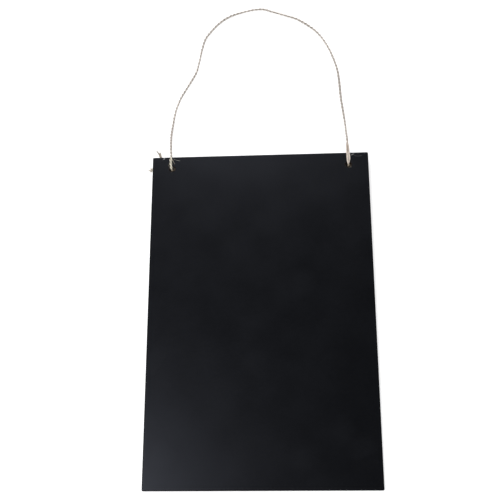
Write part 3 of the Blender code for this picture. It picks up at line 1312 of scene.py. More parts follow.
def stray_fibre_tree() -> GeometrySheet:
    """A tree that scatters fine bent fibres over a twine's surface.

    Returns:
        The tree.
    """
    sheet = GeometrySheet(
        "stray_fibres",
        {
            "Density": "float",
            "Shortest": "float",
            "Longest": "float",
            "Thickness": "float",
            "Lift": "float",
            "Floor Height": "float",
            "Seed": "int",
            "Material": "material",
        },
    )
    seed = sheet.given("Seed")
    density = sheet.calc("MULTIPLY", sheet.given("Density"), sheet.named("hairiness"))
    points = sheet.add(
        "GeometryNodeDistributePointsOnFaces",
        {"distribute_method": "RANDOM"},
        {"Mesh": sheet.given("Geometry"), "Density": density, "Seed": seed},
    )
    chance = random_number(sheet, -1.0, 1.0, seed, 1)
    way = scaled(sheet, sheet.named("run_way", "FLOAT_VECTOR"), sheet.calc("SIGN", chance))
    lift = sheet.calc("MULTIPLY", sheet.given("Lift"), random_number(sheet, *HAIR_LIFT, seed, 2))
    way = sheet.vector("ADD", way, scaled(sheet, points.outputs["Normal"], lift))
    shake = sheet.out(
        "FunctionNodeRandomValue",
        {"data_type": "FLOAT_VECTOR"},
        {
            "Min": (-HAIR_SHAKE,) * 3,
            "Max": (HAIR_SHAKE,) * 3,
            "Seed": sheet.calc("ADD", seed, 3),
        },
    )
    way = sheet.vector("ADD", way, shake)
    roll = random_number(sheet, 0.0, FULL_TURN, seed, 4)
    spin = sheet.out("ShaderNodeCombineXYZ", None, {"Z": roll})
    spin = sheet.out("FunctionNodeEulerToRotation", None, {0: spin})
    aim = sheet.out("FunctionNodeAlignRotationToVector", {"axis": "Z"}, {"Rotation": spin, "Vector": way})
    hair = sheet.out(
        "GeometryNodeCurveQuadraticBezier",
        None,
        {"Resolution": 5, "Start": (0, 0, 0), "Middle": HAIR_MIDDLE, "End": HAIR_TIP},
    )
    length = random_number(sheet, 0.0, 1.0, seed, 5)
    length = sheet.calc("POWER", length, HAIR_SHORTNESS)
    length = sheet.out(
        "ShaderNodeMapRange",
        None,
        {"Value": length, "To Min": sheet.given("Shortest"), "To Max": sheet.given("Longest")},
    )
    hairs = sheet.out(
        "GeometryNodeInstanceOnPoints",
        None,
        {"Points": points.outputs["Points"], "Instance": hair, "Rotation": aim, "Scale": length},
    )
    hairs = sheet.out("GeometryNodeRealizeInstances", None, {"Geometry": hairs})
    profile = sheet.out(
        "GeometryNodeCurvePrimitiveCircle", {"mode": "RADIUS"}, {"Resolution": 3, "Radius": 1.0}
    )
    part = sheet.out("GeometryNodeSplineParameter", None, None, "Factor")
    taper = sheet.calc("SUBTRACT", 1.0, sheet.calc("MULTIPLY", part, HAIR_TAPER))
    tube = sheet.swept(hairs, profile, sheet.calc("MULTIPLY", taper, sheet.given("Thickness")))
    place = sheet.out("GeometryNodeInputPosition")
    parts = sheet.add("ShaderNodeSeparateXYZ", None, {"Vector": place})
    height = sheet.calc("MAXIMUM", parts.outputs["Z"], sheet.given("Floor Height"))
    rested = sheet.out(
        "ShaderNodeCombineXYZ", None, {"X": parts.outputs["X"], "Y": parts.outputs["Y"], "Z": height}
    )
    tube = sheet.out("GeometryNodeSetPosition", None, {"Geometry": tube, "Position": rested})
    sheet.end(tube)
    return sheet


def random_number(sheet: NodeSheet, low: float, high: float, seed: object, shift: int) -> Socket:
    """A random number for each element, with its own seed."""
    inputs = {"Min": low, "Max": high, "Seed": sheet.calc("ADD", seed, shift)}
    return sheet.out("FunctionNodeRandomValue", {"data_type": "FLOAT"}, inputs)


def loose_fibre_tree() -> GeometrySheet:
    """A tree that gives drawn fibres their body.

    Returns:
        The tree.
    """
    sheet = GeometrySheet("loose_fibres", {"Sides": "int", "Material": "material"})
    line = sheet.out("GeometryNodeMeshToCurve", None, {"Mesh": sheet.given("Geometry")})
    profile = sheet.out(
        "GeometryNodeCurvePrimitiveCircle",
        {"mode": "RADIUS"},
        {"Resolution": sheet.given("Sides"), "Radius": 1.0},
    )
    rim = sheet.out("GeometryNodeInputPosition")
    length = sheet.out("GeometryNodeSplineParameter", None, None, "Length")
    line = sheet.keep(line, "length_along", "FLOAT", length)
    profile = sheet.keep(profile, "round_way", "FLOAT_VECTOR", rim)
    tube = sheet.swept(line, profile, sheet.named("fibre_radius"))
    shift = sheet.calc("MULTIPLY", sheet.named("length_along"), FIBRE_RUN)
    way = sheet.out("ShaderNodeCombineXYZ", None, {"Z": shift})
    way = sheet.vector("ADD", sheet.named("round_way", "FLOAT_VECTOR"), way)
    sheet.end(sheet.keep(tube, "fibre_way", "FLOAT_VECTOR", way))
    return sheet


@dataclass
class LaidLine:
    """A stretch of twine: its centreline and what varies along it."""

    points: np.ndarray
    runs: np.ndarray
    sides: np.ndarray
    twist: np.ndarray
    lay_radius: np.ndarray
    ply_radius: np.ndarray
    flatness: np.ndarray
    tint: np.ndarray
    hairiness: np.ndarray

    def part(self, first: int, last: int) -> "LaidLine":
        """The stretch between two of the line's points, both kept."""
        cut = slice(first, last + 1)
        return LaidLine(*(getattr(self, name)[cut] for name in self.__dataclass_fields__))

    def mesh(self, name: str) -> bpy.types.Mesh:
        """The stretch as a mesh line with its values on its points.

        Args:
            name: The mesh's name.

        Returns:
            The mesh.
        """
        values = {
            "run_way": [self.runs],
            "side_way": [self.sides],
            "twist": [self.twist],
            "lay_radius": [self.lay_radius],
            "ply_radius": [self.ply_radius],
            "flatness": [self.flatness],
            "tint": [self.tint],
            "hairiness": [self.hairiness],
        }
        return line_mesh(name, [self.points], values)


# The free loop from the left hole round to the right one, as the part's source lays it, but with
# its first place and its last three up to 0.4 mm further left.
LOOP_ROUTE: tuple[Place, ...] = (
    (-0.0831, 0.1499, 0.0103),
    (-0.0839, 0.1600, 0.0088),
    (-0.0846, 0.1700, 0.0055),
    (-0.0847, 0.1788, 0.0027),
    (-0.0839, 0.1866, 0.0012),
    (-0.0820, 0.2003, 0.0011),
    (-0.0795, 0.2096, 0.0011),
    (-0.0760, 0.2184, 0.0011),
    (-0.0713, 0.2270, 0.0011),
    (-0.0664, 0.2360, 0.0011),
    (-0.0620, 0.2450, 0.0011),
    (-0.0602, 0.2528, 0.0011),
    (-0.0587, 0.2606, 0.0011),
    (-0.0569, 0.2707, 0.0011),
    (-0.0535, 0.2823, 0.0011),
    (-0.0474, 0.2912, 0.0011),
    (-0.0403, 0.2992, 0.0011),
    (-0.0326, 0.3051, 0.0011),
    (-0.0241, 0.3090, 0.0011),
    (-0.0138, 0.3119, 0.0011),
    (-0.0046, 0.3137, 0.0011),
    (0.0043, 0.3137, 0.0011),
    (0.0133, 0.3105, 0.0011),
    (0.0284, 0.3048, 0.0011),
    (0.0378, 0.3009, 0.0011),
    (0.0505, 0.2916, 0.0011),
    (0.0579, 0.2842, 0.0011),
    (0.0637, 0.2753, 0.0011),
    (0.0687, 0.2650, 0.0011),
    (0.0727, 0.2536, 0.0011),
    (0.0756, 0.2423, 0.0011),
    (0.0769, 0.2301, 0.0011),
    (0.0780, 0.2107, 0.0011),
    (0.0795, 0.1977, 0.0011),
    (0.0810, 0.1814, 0.0020),
    (0.0814, 0.1719, 0.0049),
    (0.0818, 0.1638, 0.0077),
    (0.0818, 0.1556, 0.0098),
    (0.0820, 0.1499, 0.0103),
)

# How thick the free loop is along it, from the top edge on the left: a distance and a share.
LOOP_FULLNESS: Stops = (
    (0.000, 1.05),
    (0.010, 1.14),
    (0.020, 1.18),
    (0.030, 1.16),
    (0.045, 1.02),
    (0.060, 0.90),
    (0.080, 1.01),
    (0.097, 1.05),
    (0.110, 0.91),
    (0.122, 1.01),
    (0.140, 1.08),
    (0.155, 1.04),
    (0.172, 1.09),
    (0.180, 1.09),
    (0.190, 0.93),
    (0.200, 0.98),
    (0.210, 1.06),
    (0.225, 0.98),
    (0.240, 1.04),
    (0.250, 1.11),
    (0.260, 1.13),
    (0.272, 0.99),
    (0.285, 0.94),
    (0.300, 1.05),
    (0.310, 1.02),
    (0.320, 1.14),
    (0.330, 1.22),
    (0.342, 1.22),
    (0.352, 1.16),
    (0.360, 1.18),
    (0.371, 1.07),
    (0.380, 0.96),
    (0.390, 1.08),
    (0.400, 1.18),
)

# Where the strand goes down each hole, from the hole's axis at the board's back, face side first.
LEFT_HOLE_ROUTE: tuple[Place, ...] = (
    (-0.0014, 0.0075, 0.00535),
    (-0.0012, 0.0045, 0.00535),
    (-0.0009, 0.0018, 0.00530),
    (-0.0004, -0.0004, 0.00495),
    (0.0001, -0.0014, 0.00400),
    (0.0002, -0.0012, 0.00260),
    (0.0000, -0.0004, 0.00130),
)
RIGHT_HOLE_ROUTE: tuple[Place, ...] = (
    (0.0001, 0.0075, 0.00585),
    (0.0001, 0.0045, 0.00585),
    (0.0000, 0.0018, 0.00560),
    (0.0000, 0.0002, 0.00500),
    (0.0001, -0.0007, 0.00380),
    (0.0001, -0.0007, 0.00250),
    (0.0000, -0.0003, 0.00130),
)


@dataclass
class HangingTwine:
    """The one length of two-ply twine: two knots, the stubs in the holes and the free loop."""

    space: BoardSpace
    tints: TwineTints = field(default_factory=TwineTints)
    spacing: float = 0.00045
    lay_length: float = 0.0076
    sprung_lay_length: float = 0.090
    sprung_anchor: float = 0.0135
    lay_radius: float = 0.00054
    ply_radius: float = 0.00053
    left_lay_radius: float = 0.00066
    left_ply_radius: float = 0.00059
    left_tip_lay_radius: float = 0.00025
    left_tip_ply_radius: float = 0.00052
    right_lay_radius: float = 0.00082
    right_ply_radius: float = 0.00090
    right_tip_lay_radius: float = 0.00025
    right_tip_ply_radius: float = 0.00055
    left_strand: Stretch = (0.0, 0.003, 0.014, 0.021)
    sprung_stretch: Stretch = (0.0045, 0.0105, 0.0220, 0.0300)
    left_tip: Range = (0.0058, 0.0082)
    right_tip: Range = (0.0060, 0.0110)
    left_shadow: Range = (0.0038, 0.0062)
    right_shadow: Range = (0.0040, 0.0060)
    left_tinting: Range = (0.0165, 0.0185)
    right_tinting: Range = (0.0150, 0.0180)
    neck_tinting: Range = (0.0280, 0.0310)
    left_hair_share: float = 0.6
    sprung_hair_share: float = 0.4
    splay: Stops = (
        (0.0045, 0.0),
        (0.0077, 0.67),
        (0.0097, 0.95),
        (0.0105, 0.95),
        (0.0117, 0.85),
        (0.0137, 0.62),
        (0.0160, 0.55),
        (0.0200, 0.57),
        (0.0235, 0.31),
        (0.0270, 0.0),
    )
    right_flatness: float = 0.55
    thickness_painted_shade_power: float = 0.85
    sides: int = 18
    ridge_share: float = 0.34
    slub_share: float = 0.30
    valley_shade: float = 0.35
    blend_length: float = 0.007
    cord_diameter: float = 0.002
    hair_density: float = 420000.0
    hair_lengths: Range = (0.0006, 0.0042)
    hair_radius: float = 0.000024
    hair_lift: float = 0.75
    loop_seed: int = 11
    left_seed: int = 23
    right_seed: int = 37
    left_end_length: float = 0.007
    left_end_heading: float = math.radians(135)
    right_end_length: float = 0.008
    right_end_heading: float = math.radians(140)
    route_steps: int = 24
    first: int = field(init=False)
    last: int = field(init=False)
    whole: LaidLine = field(init=False)
    loop: bpy.types.Object = field(init=False)
    extras: list[bpy.types.Object] = field(init=False)

    def __post_init__(self) -> None:
        """Lay the whole centreline out, from the left knot's cut end to the right one's."""
        left = StopperKnot(self.space, Side.LEFT, self.left_end_length, self.left_end_heading).line()
        right = StopperKnot(self.space, Side.RIGHT, self.right_end_length, self.right_end_heading).line()
        down = self.space.beside_hole(Side.LEFT, LEFT_HOLE_ROUTE)
        up = self.space.beside_hole(Side.RIGHT, RIGHT_HOLE_ROUTE)
        middle = smooth_line(
            np.vstack([left[:1], down[::-1], np.array(LOOP_ROUTE), up, right[:1]]), self.route_steps
        )
        left_part = evenly_spaced(left[::-1], self.spacing)
        middle_part = evenly_spaced(middle, self.spacing)
        right_part = evenly_spaced(right, self.spacing)
        self.first = len(left_part) - 1
        self.last = self.first + len(middle_part) - 1
        self.whole = self.lay(np.vstack([left_part, middle_part[1:], right_part[1:]]))
        self.jute = JuteFinish().material()
        self.fibre_jute = JuteFinish(name="jute_fibre", levels=(0.85, 1.15)).material()
        self.twine_tree = laid_twine_tree()
        self.stray_tree = stray_fibre_tree()

    def lay(self, points: np.ndarray) -> LaidLine:
        """Work out how the plies lie along the whole centreline.

        Args:
            points: The centreline's places, evenly spaced.

        Returns:
            The laid twine.
        """
        along = distances_along(points)
        runs = directions(points)
        past_left = along - along[self.first]
        to_right = along[self.last] - along
        anchor = int(np.argmin(np.abs(to_right - self.sprung_anchor)))
        sides = turned_level(runs, side_ways(runs, np.cross(runs[0], (0, 0, 1))), anchor)
        on_left = bell(past_left, *self.left_strand)
        sprung = bell(to_right, *self.sprung_stretch)
        lay = self.lay_length * (1 - sprung) + self.sprung_lay_length * sprung
        twist = -np.cumsum(FULL_TURN * np.diff(along, prepend=along[0]) / lay)
        fullness = self.fullness(points, along)
        lay_radius = self.lay_radius * fullness
        ply_radius = self.ply_radius * fullness
        for share, lay_there, ply_there in (
            (on_left, self.left_lay_radius, self.left_ply_radius),
            (faded(past_left, *self.left_tip), self.left_tip_lay_radius, self.left_tip_ply_radius),
            (faded(to_right, *self.right_tip), self.right_tip_lay_radius, self.right_tip_ply_radius),
            (np.interp(to_right, *zip(*self.splay)), self.right_lay_radius, self.right_ply_radius),
        ):
            lay_radius = lay_radius + (lay_there - lay_radius) * share
            ply_radius = ply_radius + (ply_there - ply_radius) * share
        return LaidLine(
            points=points,
            runs=runs,
            sides=sides,
            twist=twist - twist[anchor],
            lay_radius=lay_radius,
            ply_radius=ply_radius,
            flatness=1 - (1 - self.right_flatness) * sprung,
            tint=self.tint(past_left, to_right, fullness),
            hairiness=1 + self.left_hair_share * on_left + self.sprung_hair_share * sprung,
        )

    def tint(self, past_left: np.ndarray, to_right: np.ndarray, fullness: np.ndarray) -> np.ndarray:
        """The twine's colour at each point, with painted shade where the strands go down the holes.

        Args:
            past_left: How far past the left stub each point is.
            to_right: How far before the right stub each point is.
            fullness: How thick the twine is there, against its usual thickness.

        Returns:
            One colour for each point.
        """
        # Painted shade: the strands darken to the knots' tone as they go down the holes.
        knot_tone_and_hole_shade = np.maximum(
            faded(past_left, *self.left_shadow), faded(to_right, *self.right_shadow)
        )
        # Painted shade: thicker stretches of the loop are tinted darker.
        tint = np.array(self.tints.loop) * fullness[:, None] ** -self.thickness_painted_shade_power
        for share, colour in (
            (faded(past_left, *self.left_tinting), self.tints.left_strand),
            (faded(to_right, *self.neck_tinting), self.tints.right_neck),
            (faded(to_right, *self.right_tinting), self.tints.right_strand),
            (knot_tone_and_hole_shade, self.tints.knot_tone_and_hole_shade),
        ):
            tint = tint * (1 - share[:, None]) + np.array(colour) * share[:, None]
        return tint

    def fullness(self, points: np.ndarray, along: np.ndarray) -> np.ndarray:
        """How thick the twine is at each point, against its usual thickness.

        Args:
            points: The centreline's places.
            along: How far along the centreline each of them is.

        Returns:
            One share for each point.
        """
        edge = int(np.argmin(np.linalg.norm(points - np.array(LOOP_ROUTE[0]), axis=1)))
        places, shares = zip(*LOOP_FULLNESS)
        return np.interp(along - along[edge], places, shares)

    def build(self) -> list[bpy.types.Object]:
        """Make the loop and the two knots, with their stray fibres.

        Returns:
            The loop and the other pieces.
        """
        last_point = len(self.whole.points) - 1
        loop = self.twine("twine_loop", self.whole.part(self.first, self.last))
        left = self.twine("left_stopper_knot", self.whole.part(0, self.first))
        right = self.twine("right_stopper_knot", self.whole.part(self.last, last_point))
        loop_fibres = self.fibres("loop_stray_fibres", loop, self.loop_seed)
        left_fibres = self.fibres("left_knot_stray_fibres", left, self.left_seed)
        right_fibres = self.fibres("right_knot_stray_fibres", right, self.right_seed)
        for piece in (loop, loop_fibres):
            self.bend_with_loop(piece)
        for piece in (left, right, left_fibres, right_fibres):
            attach(piece, Body.BOARD.value)
        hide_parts("hanging_twine")
        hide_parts("left_knot")
        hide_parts("right_knot")
        self.loop = loop
        self.extras = [left, right, loop_fibres, left_fibres, right_fibres]
        return [loop, *self.extras]

    def declare(self) -> float:
        """Measure the free loop.

        Returns:
            The free loop's length.
        """
        points = self.whole.part(self.first, self.last).points
        length = float(distances_along(points)[-1])
        return length

    def tree_inputs(self) -> dict[str, object]:
        """What the twine's tree is given."""
        return {
            "Plies": 2,
            "Sides": self.sides,
            "Ridge Share": self.ridge_share,
            "Slub Share": self.slub_share,
            "Valley Shade": self.valley_shade,
            "Fibre Turns": FULL_TURN / self.lay_length,
            "Material": self.jute,
        }

    def twine(self, name: str, line: LaidLine) -> bpy.types.Object:
        """Lay the plies of one stretch, flattened where it would pass through the surface below.

        Args:
            name: The finished piece's name.
            line: The stretch.

        Returns:
            The piece.
        """
        piece = self.twine_tree.bake(name, line.mesh(name), self.tree_inputs())
        points = mesh_points(piece.data)
        points[:, 2] = np.maximum(points[:, 2], SURFACE_GAP)
        set_mesh_points(piece.data, points)
        return piece

    def fibres(self, name: str, piece: bpy.types.Object, seed: int) -> bpy.types.Object:
        """Scatter stray fibres over one stretch, and lift them off the board.

        Args:
            name: The finished piece's name.
            piece: The stretch that they grow on.
            seed: The seed of their scatter.

        Returns:
            The fibres.
        """
        shortest, longest = self.hair_lengths
        inputs = {
            "Density": self.hair_density,
            "Shortest": shortest,
            "Longest": longest,
            "Thickness": self.hair_radius,
            "Lift": self.hair_lift,
            "Floor Height": SURFACE_GAP,
            "Seed": seed,
            "Material": self.fibre_jute,
        }
        fibres = self.stray_tree.bake(name, piece.data.copy(), inputs)
        lift_off_board(fibres.data, self.space)
        return fibres

    def bend_with_loop(self, piece: bpy.types.Object) -> None:
        """Bake a piece's place into its mesh.

        Args:
            piece: The piece.
        """
        start = self.space.mouth(Side.LEFT)
        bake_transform(piece)


def faded(values: np.ndarray, fade: float, gone: float) -> np.ndarray:
    """A smooth share that is whole up to one place and gone from a second."""
    down = np.clip((gone - values) / (gone - fade), 0, 1)
    return down * down * (3 - 2 * down)


def bell(values: np.ndarray, rise: float, full: float, fade: float, gone: float) -> np.ndarray:
    """A smooth share that grows from one place to a second and fades from a third to a fourth."""
    up = np.clip((values - rise) / (full - rise), 0, 1)
    return up * up * (3 - 2 * up) * faded(values, fade, gone)


def lift_off_board(mesh: bpy.types.Mesh, space: BoardSpace) -> None:
    """Move points that are inside the board to its nearer side, and off the surface below.

    Args:
        mesh: The mesh whose points are moved.
        space: The board's place and sizes.
    """
    gap = SURFACE_GAP
    local = space.to_board(mesh_points(mesh))
    across = np.abs(local[:, 0])
    inside = (across < space.width / 2) & (local[:, 1] > 0) & (local[:, 1] < space.height)
    to_hole = np.hypot(across - space.hole_x, local[:, 1] - space.hole_y)
    inside &= to_hole > space.hole_diameter / 2
    inside &= (local[:, 2] > -gap) & (local[:, 2] < space.thickness + gap)
    front = inside & (local[:, 2] > space.thickness / 2)
    back = inside & ~front
    local[front, 2] = space.thickness + gap
    local[back, 2] = -gap
    placed = space.to_world(local)
    placed[:, 2] = np.maximum(placed[:, 2], gap)
    set_mesh_points(mesh, placed)


@dataclass(frozen=True)
class Prong:
    """One point that a tail's fibres end in, on the surface behind the board."""

    tip: tuple[float, float]
    fibres: int
    spread: float
    start_share: float = 0.35


@dataclass
class SprungTail:
    """One ply of the left end: a yarn that opens into a tuft of fibres."""

    space: BoardSpace
    name: str
    node: str
    route: tuple[Place, ...]
    prongs: tuple[Prong, ...]
    seed: int
    tint: Colour = (0.50, 0.42, 0.32)
    tip_tint: Colour = (0.66, 0.60, 0.52)
    yarn_radius: float = 0.00058
    start_spread: float = 0.35
    yarn_share: float = 0.80
    swell: Stops = (
        (0.00, 0.60),
        (0.40, 0.95),
        (0.62, 0.95),
        (0.75, 0.60),
        (0.87, 0.38),
        (1.00, 0.12),
    )
    tint_stops: tuple[float, float, float] = (0.0, 0.5, 1.0)
    last_start_share: float = 0.9
    middle_share: float = 0.5
    shortest_reach: float = 0.55
    along_yarn_share: float = 0.45
    straight_share: float = 0.275
    bow_spread: float = 0.4
    fibre_radius: float = 0.000085
    girths: Range = (0.6, 1.3)
    shades: Range = (0.8, 1.15)
    taper: float = 0.7
    spacing: float = 0.0004
    route_steps: int = 12
    fibre_steps: int = 10
    fibre_sides: int = 4

    def build(self, twine: HangingTwine, fibre_tree: GeometrySheet) -> list[bpy.types.Object]:
        """Make the yarn and its tuft.

        Args:
            twine: The twine that the tail belongs to, for its trees and finishes.
            fibre_tree: The tree that gives drawn fibres their body.

        Returns:
            The yarn and the tuft.
        """
        line = evenly_spaced(smooth_line(self.route, self.route_steps), self.spacing)
        yarn = self.yarn(twine, line)
        tuft = self.tuft(twine, fibre_tree, line)
        for piece in (yarn, tuft):
            lift_off_board(piece.data, self.space)
            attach(piece, Body.BOARD.value)
        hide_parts(self.node)
        return [yarn, tuft]

    def yarn(self, twine: HangingTwine, line: np.ndarray) -> bpy.types.Object:
        """The spun part, which leaves the knot in its colour, swells and thins out to nothing.

        Args:
            twine: The twine that the tail belongs to.
            line: The tail's centreline.

        Returns:
            The yarn.
        """
        count = round(len(line) * self.yarn_share)
        kept = line[:count]
        share = np.linspace(0, 1, count)
        runs = directions(kept)
        levels = zip(twine.tints.knot_tone_and_hole_shade, self.tint, self.tip_tint)
        stretch = LaidLine(
            points=kept,
            runs=runs,
            sides=side_ways(runs, (0, 0, 1)),
            twist=np.zeros(count),
            lay_radius=np.zeros(count),
            ply_radius=self.yarn_radius * np.interp(share, *zip(*self.swell)),
            flatness=np.ones(count),
            tint=np.stack([np.interp(share, self.tint_stops, level) for level in levels], axis=1),
            hairiness=np.ones(count),
        )
        inputs = twine.tree_inputs() | {"Plies": 1}
        return twine.twine_tree.bake(self.name, stretch.mesh(self.name), inputs)

    def tuft(
        self, twine: HangingTwine, fibre_tree: GeometrySheet, line: np.ndarray
    ) -> bpy.types.Object:
        """The loose fibres that run out of the yarn to the prongs.

        Args:
            twine: The twine that the tail belongs to.
            fibre_tree: The tree that gives drawn fibres their body.
            line: The tail's centreline.

        Returns:
            The tuft.
        """
        random = np.random.default_rng(self.seed)
        share = np.linspace(0, 1, self.fibre_steps)
        colour = np.array(self.tint) * (1 - share[:, None])
        colour = colour + np.array(self.tip_tint) * share[:, None]
        lines, radii, tints = [], [], []
        for prong in self.prongs:
            for _ in range(prong.fibres):
                lines.append(self.fibre(random, prong, line))
                radius = self.fibre_radius * random.uniform(*self.girths)
                radii.append(radius * (1 - self.taper * share))
                tints.append(colour * random.uniform(*self.shades))
        name = f"{self.name}_tuft"
        source = line_mesh(name, lines, {"fibre_radius": radii, "tint": tints})
        inputs = {"Sides": self.fibre_sides, "Material": twine.fibre_jute}
        return fibre_tree.bake(name, source, inputs)

    def fibre(self, random: np.random.Generator, prong: Prong, line: np.ndarray) -> np.ndarray:
        """One loose fibre's line.

        Args:
            random: Where the chance comes from.
            prong: The point that the fibre heads for.
            line: The tail's centreline, on which it starts.

        Returns:
            The fibre's places.
        """
        last = len(line) - 1
        begin = random.uniform(prong.start_share, self.last_start_share)
        start = line[round(begin * last)]
        middle = line[round((begin + (1 - begin) * self.middle_share) * last)]
        reach = random.uniform(self.shortest_reach, 1.0) ** 0.5
        tip = np.array([*prong.tip, self.yarn_radius])
        tip = start + (tip - start) * reach
        middle = middle * self.along_yarn_share + (start + tip) * self.straight_share
        noise = random.normal(0, 1, (3, 3)) * np.array([1, 1, 0.5])
        start = start + noise[0] * self.yarn_radius * self.start_spread
        middle = middle + noise[1] * prong.spread * self.bow_spread
        tip = tip + noise[2] * prong.spread
        return bent_line(start, middle, tip, self.fibre_steps)


def bent_line(start: np.ndarray, middle: np.ndarray, tip: np.ndarray, steps: int) -> np.ndarray:
    """A curved line through three places that stays off the surface below.

    Args:
        start: The first place.
        middle: The place half way.
        tip: The last place.
        steps: How many places the line has.

    Returns:
        The line's places.
    """
    share = np.linspace(0, 1, steps)[:, None]
    bend = 2 * middle - (start + tip) / 2
    line = (1 - share) ** 2 * start + 2 * share * (1 - share) * bend + share**2 * tip
    line[:, 2] = np.maximum(line[:, 2], SURFACE_GAP)
    return line


@dataclass(frozen=True)
class Wisp:
    """A wisp of fibres that the photograph shows, measured from one hole like its strand."""

    side: Side
    route: tuple[Place, ...]
    fibres: int
    spread: float
    tint: Colour


@dataclass
class WispGroup:
    """Wisps near the holes that make one piece."""

    space: BoardSpace
    name: str
    wisps: tuple[Wisp, ...]
    radius: float = 0.00008
    girths: Range = (0.7, 1.2)
    shades: Range = (0.85, 1.1)
    taper: float = 0.6
    height_spread: float = 0.3
    spacing: float = 0.0003
    route_steps: int = 12
    fibre_sides: int = 5
    seed: int = 17

    def build(self, twine: HangingTwine, fibre_tree: GeometrySheet) -> bpy.types.Object:
        """Make the wisps as one piece, which still has to be put on a body.

        Args:
            twine: The twine that they come from, for its finish.
            fibre_tree: The tree that gives drawn fibres their body.

        Returns:
            The piece.
        """
        random = np.random.default_rng(self.seed)
        lines, radii, tints = [], [], []
        for wisp in self.wisps:
            for _ in range(wisp.fibres):
                shake = random.normal(0, wisp.spread, (len(wisp.route), 3))
                shake = shake * (1.0, 1.0, self.height_spread)
                places = self.space.beside_hole(wisp.side, np.array(wisp.route) + shake)
                line = evenly_spaced(smooth_line(places, self.route_steps), self.spacing)
                share = np.linspace(-1, 1, len(line))
                radius = self.radius * random.uniform(*self.girths)
                tint = np.array(wisp.tint) * random.uniform(*self.shades)
                lines.append(line)
                radii.append(radius * (1 - self.taper * np.abs(share) ** 3))
                tints.append(np.tile(tint, (len(line), 1)))
        source = line_mesh(self.name, lines, {"fibre_radius": radii, "tint": tints})
        inputs = {"Sides": self.fibre_sides, "Material": twine.fibre_jute}
        piece = fibre_tree.bake(self.name, source, inputs)
        lift_off_board(piece.data, self.space)
        return piece


def sprung_tails(space: BoardSpace) -> list[SprungTail]:
    """The two plies of the left end, where the photograph shows them.

    Args:
        space: The board's place and sizes.

    Returns:
        The upper and the lower tail.
    """
    upper = SprungTail(
        space=space,
        name="upper_tail_yarn",
        node="left_tail_upper",
        route=(
            (-0.0880, 0.1437, 0.0011),
            (-0.0905, 0.1468, 0.0011),
            (-0.0928, 0.1504, 0.0011),
            (-0.0945, 0.1541, 0.0011),
            (-0.0956, 0.1571, 0.0009),
            (-0.0973, 0.1596, 0.0008),
        ),
        prongs=(
            Prong(tip=(-0.0989, 0.1612), fibres=65, spread=0.00032),
            Prong(tip=(-0.0949, 0.1596), fibres=35, spread=0.00028),
            Prong(tip=(-0.0945, 0.1568), fibres=60, spread=0.00045),
        ),
        seed=5,
        tint=(0.31, 0.25, 0.19),
        tip_tint=(0.54, 0.47, 0.38),
        yarn_radius=0.00128,
        start_spread=0.42,
        yarn_share=1.0,
    )
    lower = SprungTail(
        space=space,
        name="lower_tail_yarn",
        node="left_tail_lower",
        route=(
            (-0.0880, 0.1446, 0.0010),
            (-0.0912, 0.1441, 0.0007),
            (-0.0943, 0.1434, 0.0007),
            (-0.0980, 0.1425, 0.0007),
            (-0.1016, 0.1416, 0.0007),
            (-0.1054, 0.1411, 0.0007),
        ),
        prongs=(
            Prong(tip=(-0.1070, 0.1409), fibres=50, spread=0.00034, start_share=0.40),
            Prong(tip=(-0.1045, 0.1433), fibres=60, spread=0.00044, start_share=0.40),
            Prong(tip=(-0.1046, 0.1394), fibres=60, spread=0.00044, start_share=0.40),
        ),
        seed=9,
        tint=(0.78, 0.71, 0.60),
        tip_tint=(0.88, 0.81, 0.71),
        yarn_radius=0.00062,
        yarn_share=0.95,
    )
    return [upper, lower]


# Fibres that stand off the strands.
STRAND_WISPS: tuple[Wisp, ...] = (
    Wisp(
        side=Side.LEFT,
        route=(
            (-0.0008, 0.0098, 0.0058),
            (0.0003, 0.0084, 0.0060),
            (0.0011, 0.0070, 0.0052),
            (0.0021, 0.0050, 0.0043),
        ),
        fibres=6,
        spread=0.00012,
        tint=(0.54, 0.49, 0.41),
    ),
    Wisp(
        side=Side.LEFT,
        route=(
            (-0.0006, 0.0098, 0.0056),
            (0.0012, 0.0096, 0.0045),
            (0.0043, 0.0086, 0.0042),
            (0.0076, 0.0079, 0.0042),
        ),
        fibres=2,
        spread=0.00010,
        tint=(0.40, 0.38, 0.35),
    ),
    Wisp(
        side=Side.LEFT,
        route=(
            (-0.0016, 0.0062, 0.0056),
            (-0.0027, 0.0046, 0.0046),
            (-0.0038, 0.0028, 0.0042),
        ),
        fibres=2,
        spread=0.00010,
        tint=(0.30, 0.24, 0.17),
    ),
)

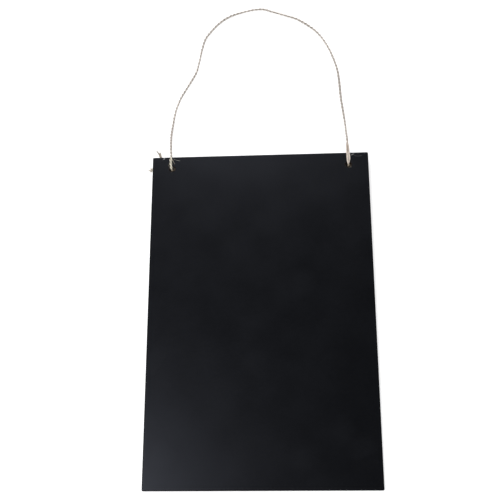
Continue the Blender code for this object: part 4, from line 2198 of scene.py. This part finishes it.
# Fibres that lie on the board's face and stay there.
FACE_WISPS: tuple[Wisp, ...] = (
    Wisp(
        side=Side.LEFT,
        route=(
            (-0.0083, 0.0096, 0.0043),
            (-0.0079, 0.0106, 0.0042),
            (-0.0073, 0.0113, 0.0039),
            (-0.0066, 0.0121, 0.0030),
        ),
        fibres=8,
        spread=0.00018,
        tint=(0.66, 0.66, 0.68),
    ),
    Wisp(
        side=Side.RIGHT,
        route=(
            (0.0030, 0.0086, 0.0043),
            (0.0037, 0.0095, 0.0042),
            (0.0045, 0.0104, 0.0041),
            (0.0055, 0.0112, 0.0038),
        ),
        fibres=6,
        spread=0.00025,
        tint=(0.44, 0.43, 0.42),
    ),
    Wisp(
        side=Side.RIGHT,
        route=(
            (0.0046, 0.0096, 0.0042),
            (0.0070, 0.0083, 0.0042),
            (0.0095, 0.0080, 0.0042),
            (0.0128, 0.0086, 0.0042),
        ),
        fibres=2,
        spread=0.00010,
        tint=(0.11, 0.11, 0.11),
    ),
    Wisp(
        side=Side.RIGHT,
        route=(
            (0.0012, -0.0030, 0.0042),
            (0.0021, -0.0032, 0.0042),
            (0.0029, -0.0027, 0.0042),
        ),
        fibres=4,
        spread=0.00010,
        tint=(0.16, 0.16, 0.15),
    ),
)


def main() -> None:
    """Build the studio, the camera, the twine and the board in order."""
    logging.basicConfig(level=logging.INFO, format="%(name)s: %(message)s")
    space = BoardSpace()
    Studio().build(space)
    PhotoCamera().build()
    twine = HangingTwine(space)
    pieces = twine.build()
    fibre_tree = loose_fibre_tree()
    extras = []
    for tail in sprung_tails(space):
        extras += tail.build(twine, fibre_tree)
    strand_wisps = WispGroup(space, "strand_wisps", STRAND_WISPS).build(twine, fibre_tree)
    twine.bend_with_loop(strand_wisps)
    face_wisps = WispGroup(space, "face_wisps", FACE_WISPS).build(twine, fibre_tree)
    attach(face_wisps, Body.BOARD.value)
    extras += [strand_wisps, face_wisps]
    length = twine.declare()
    LOG.info("the free twine is %.3f m long", length)
    pieces += [*extras, PaintedBoard(space).build()]
    for piece in pieces:
        LOG.info("%s: %d faces", piece.name, len(piece.data.polygons))


if __name__ == "__main__":
    main()
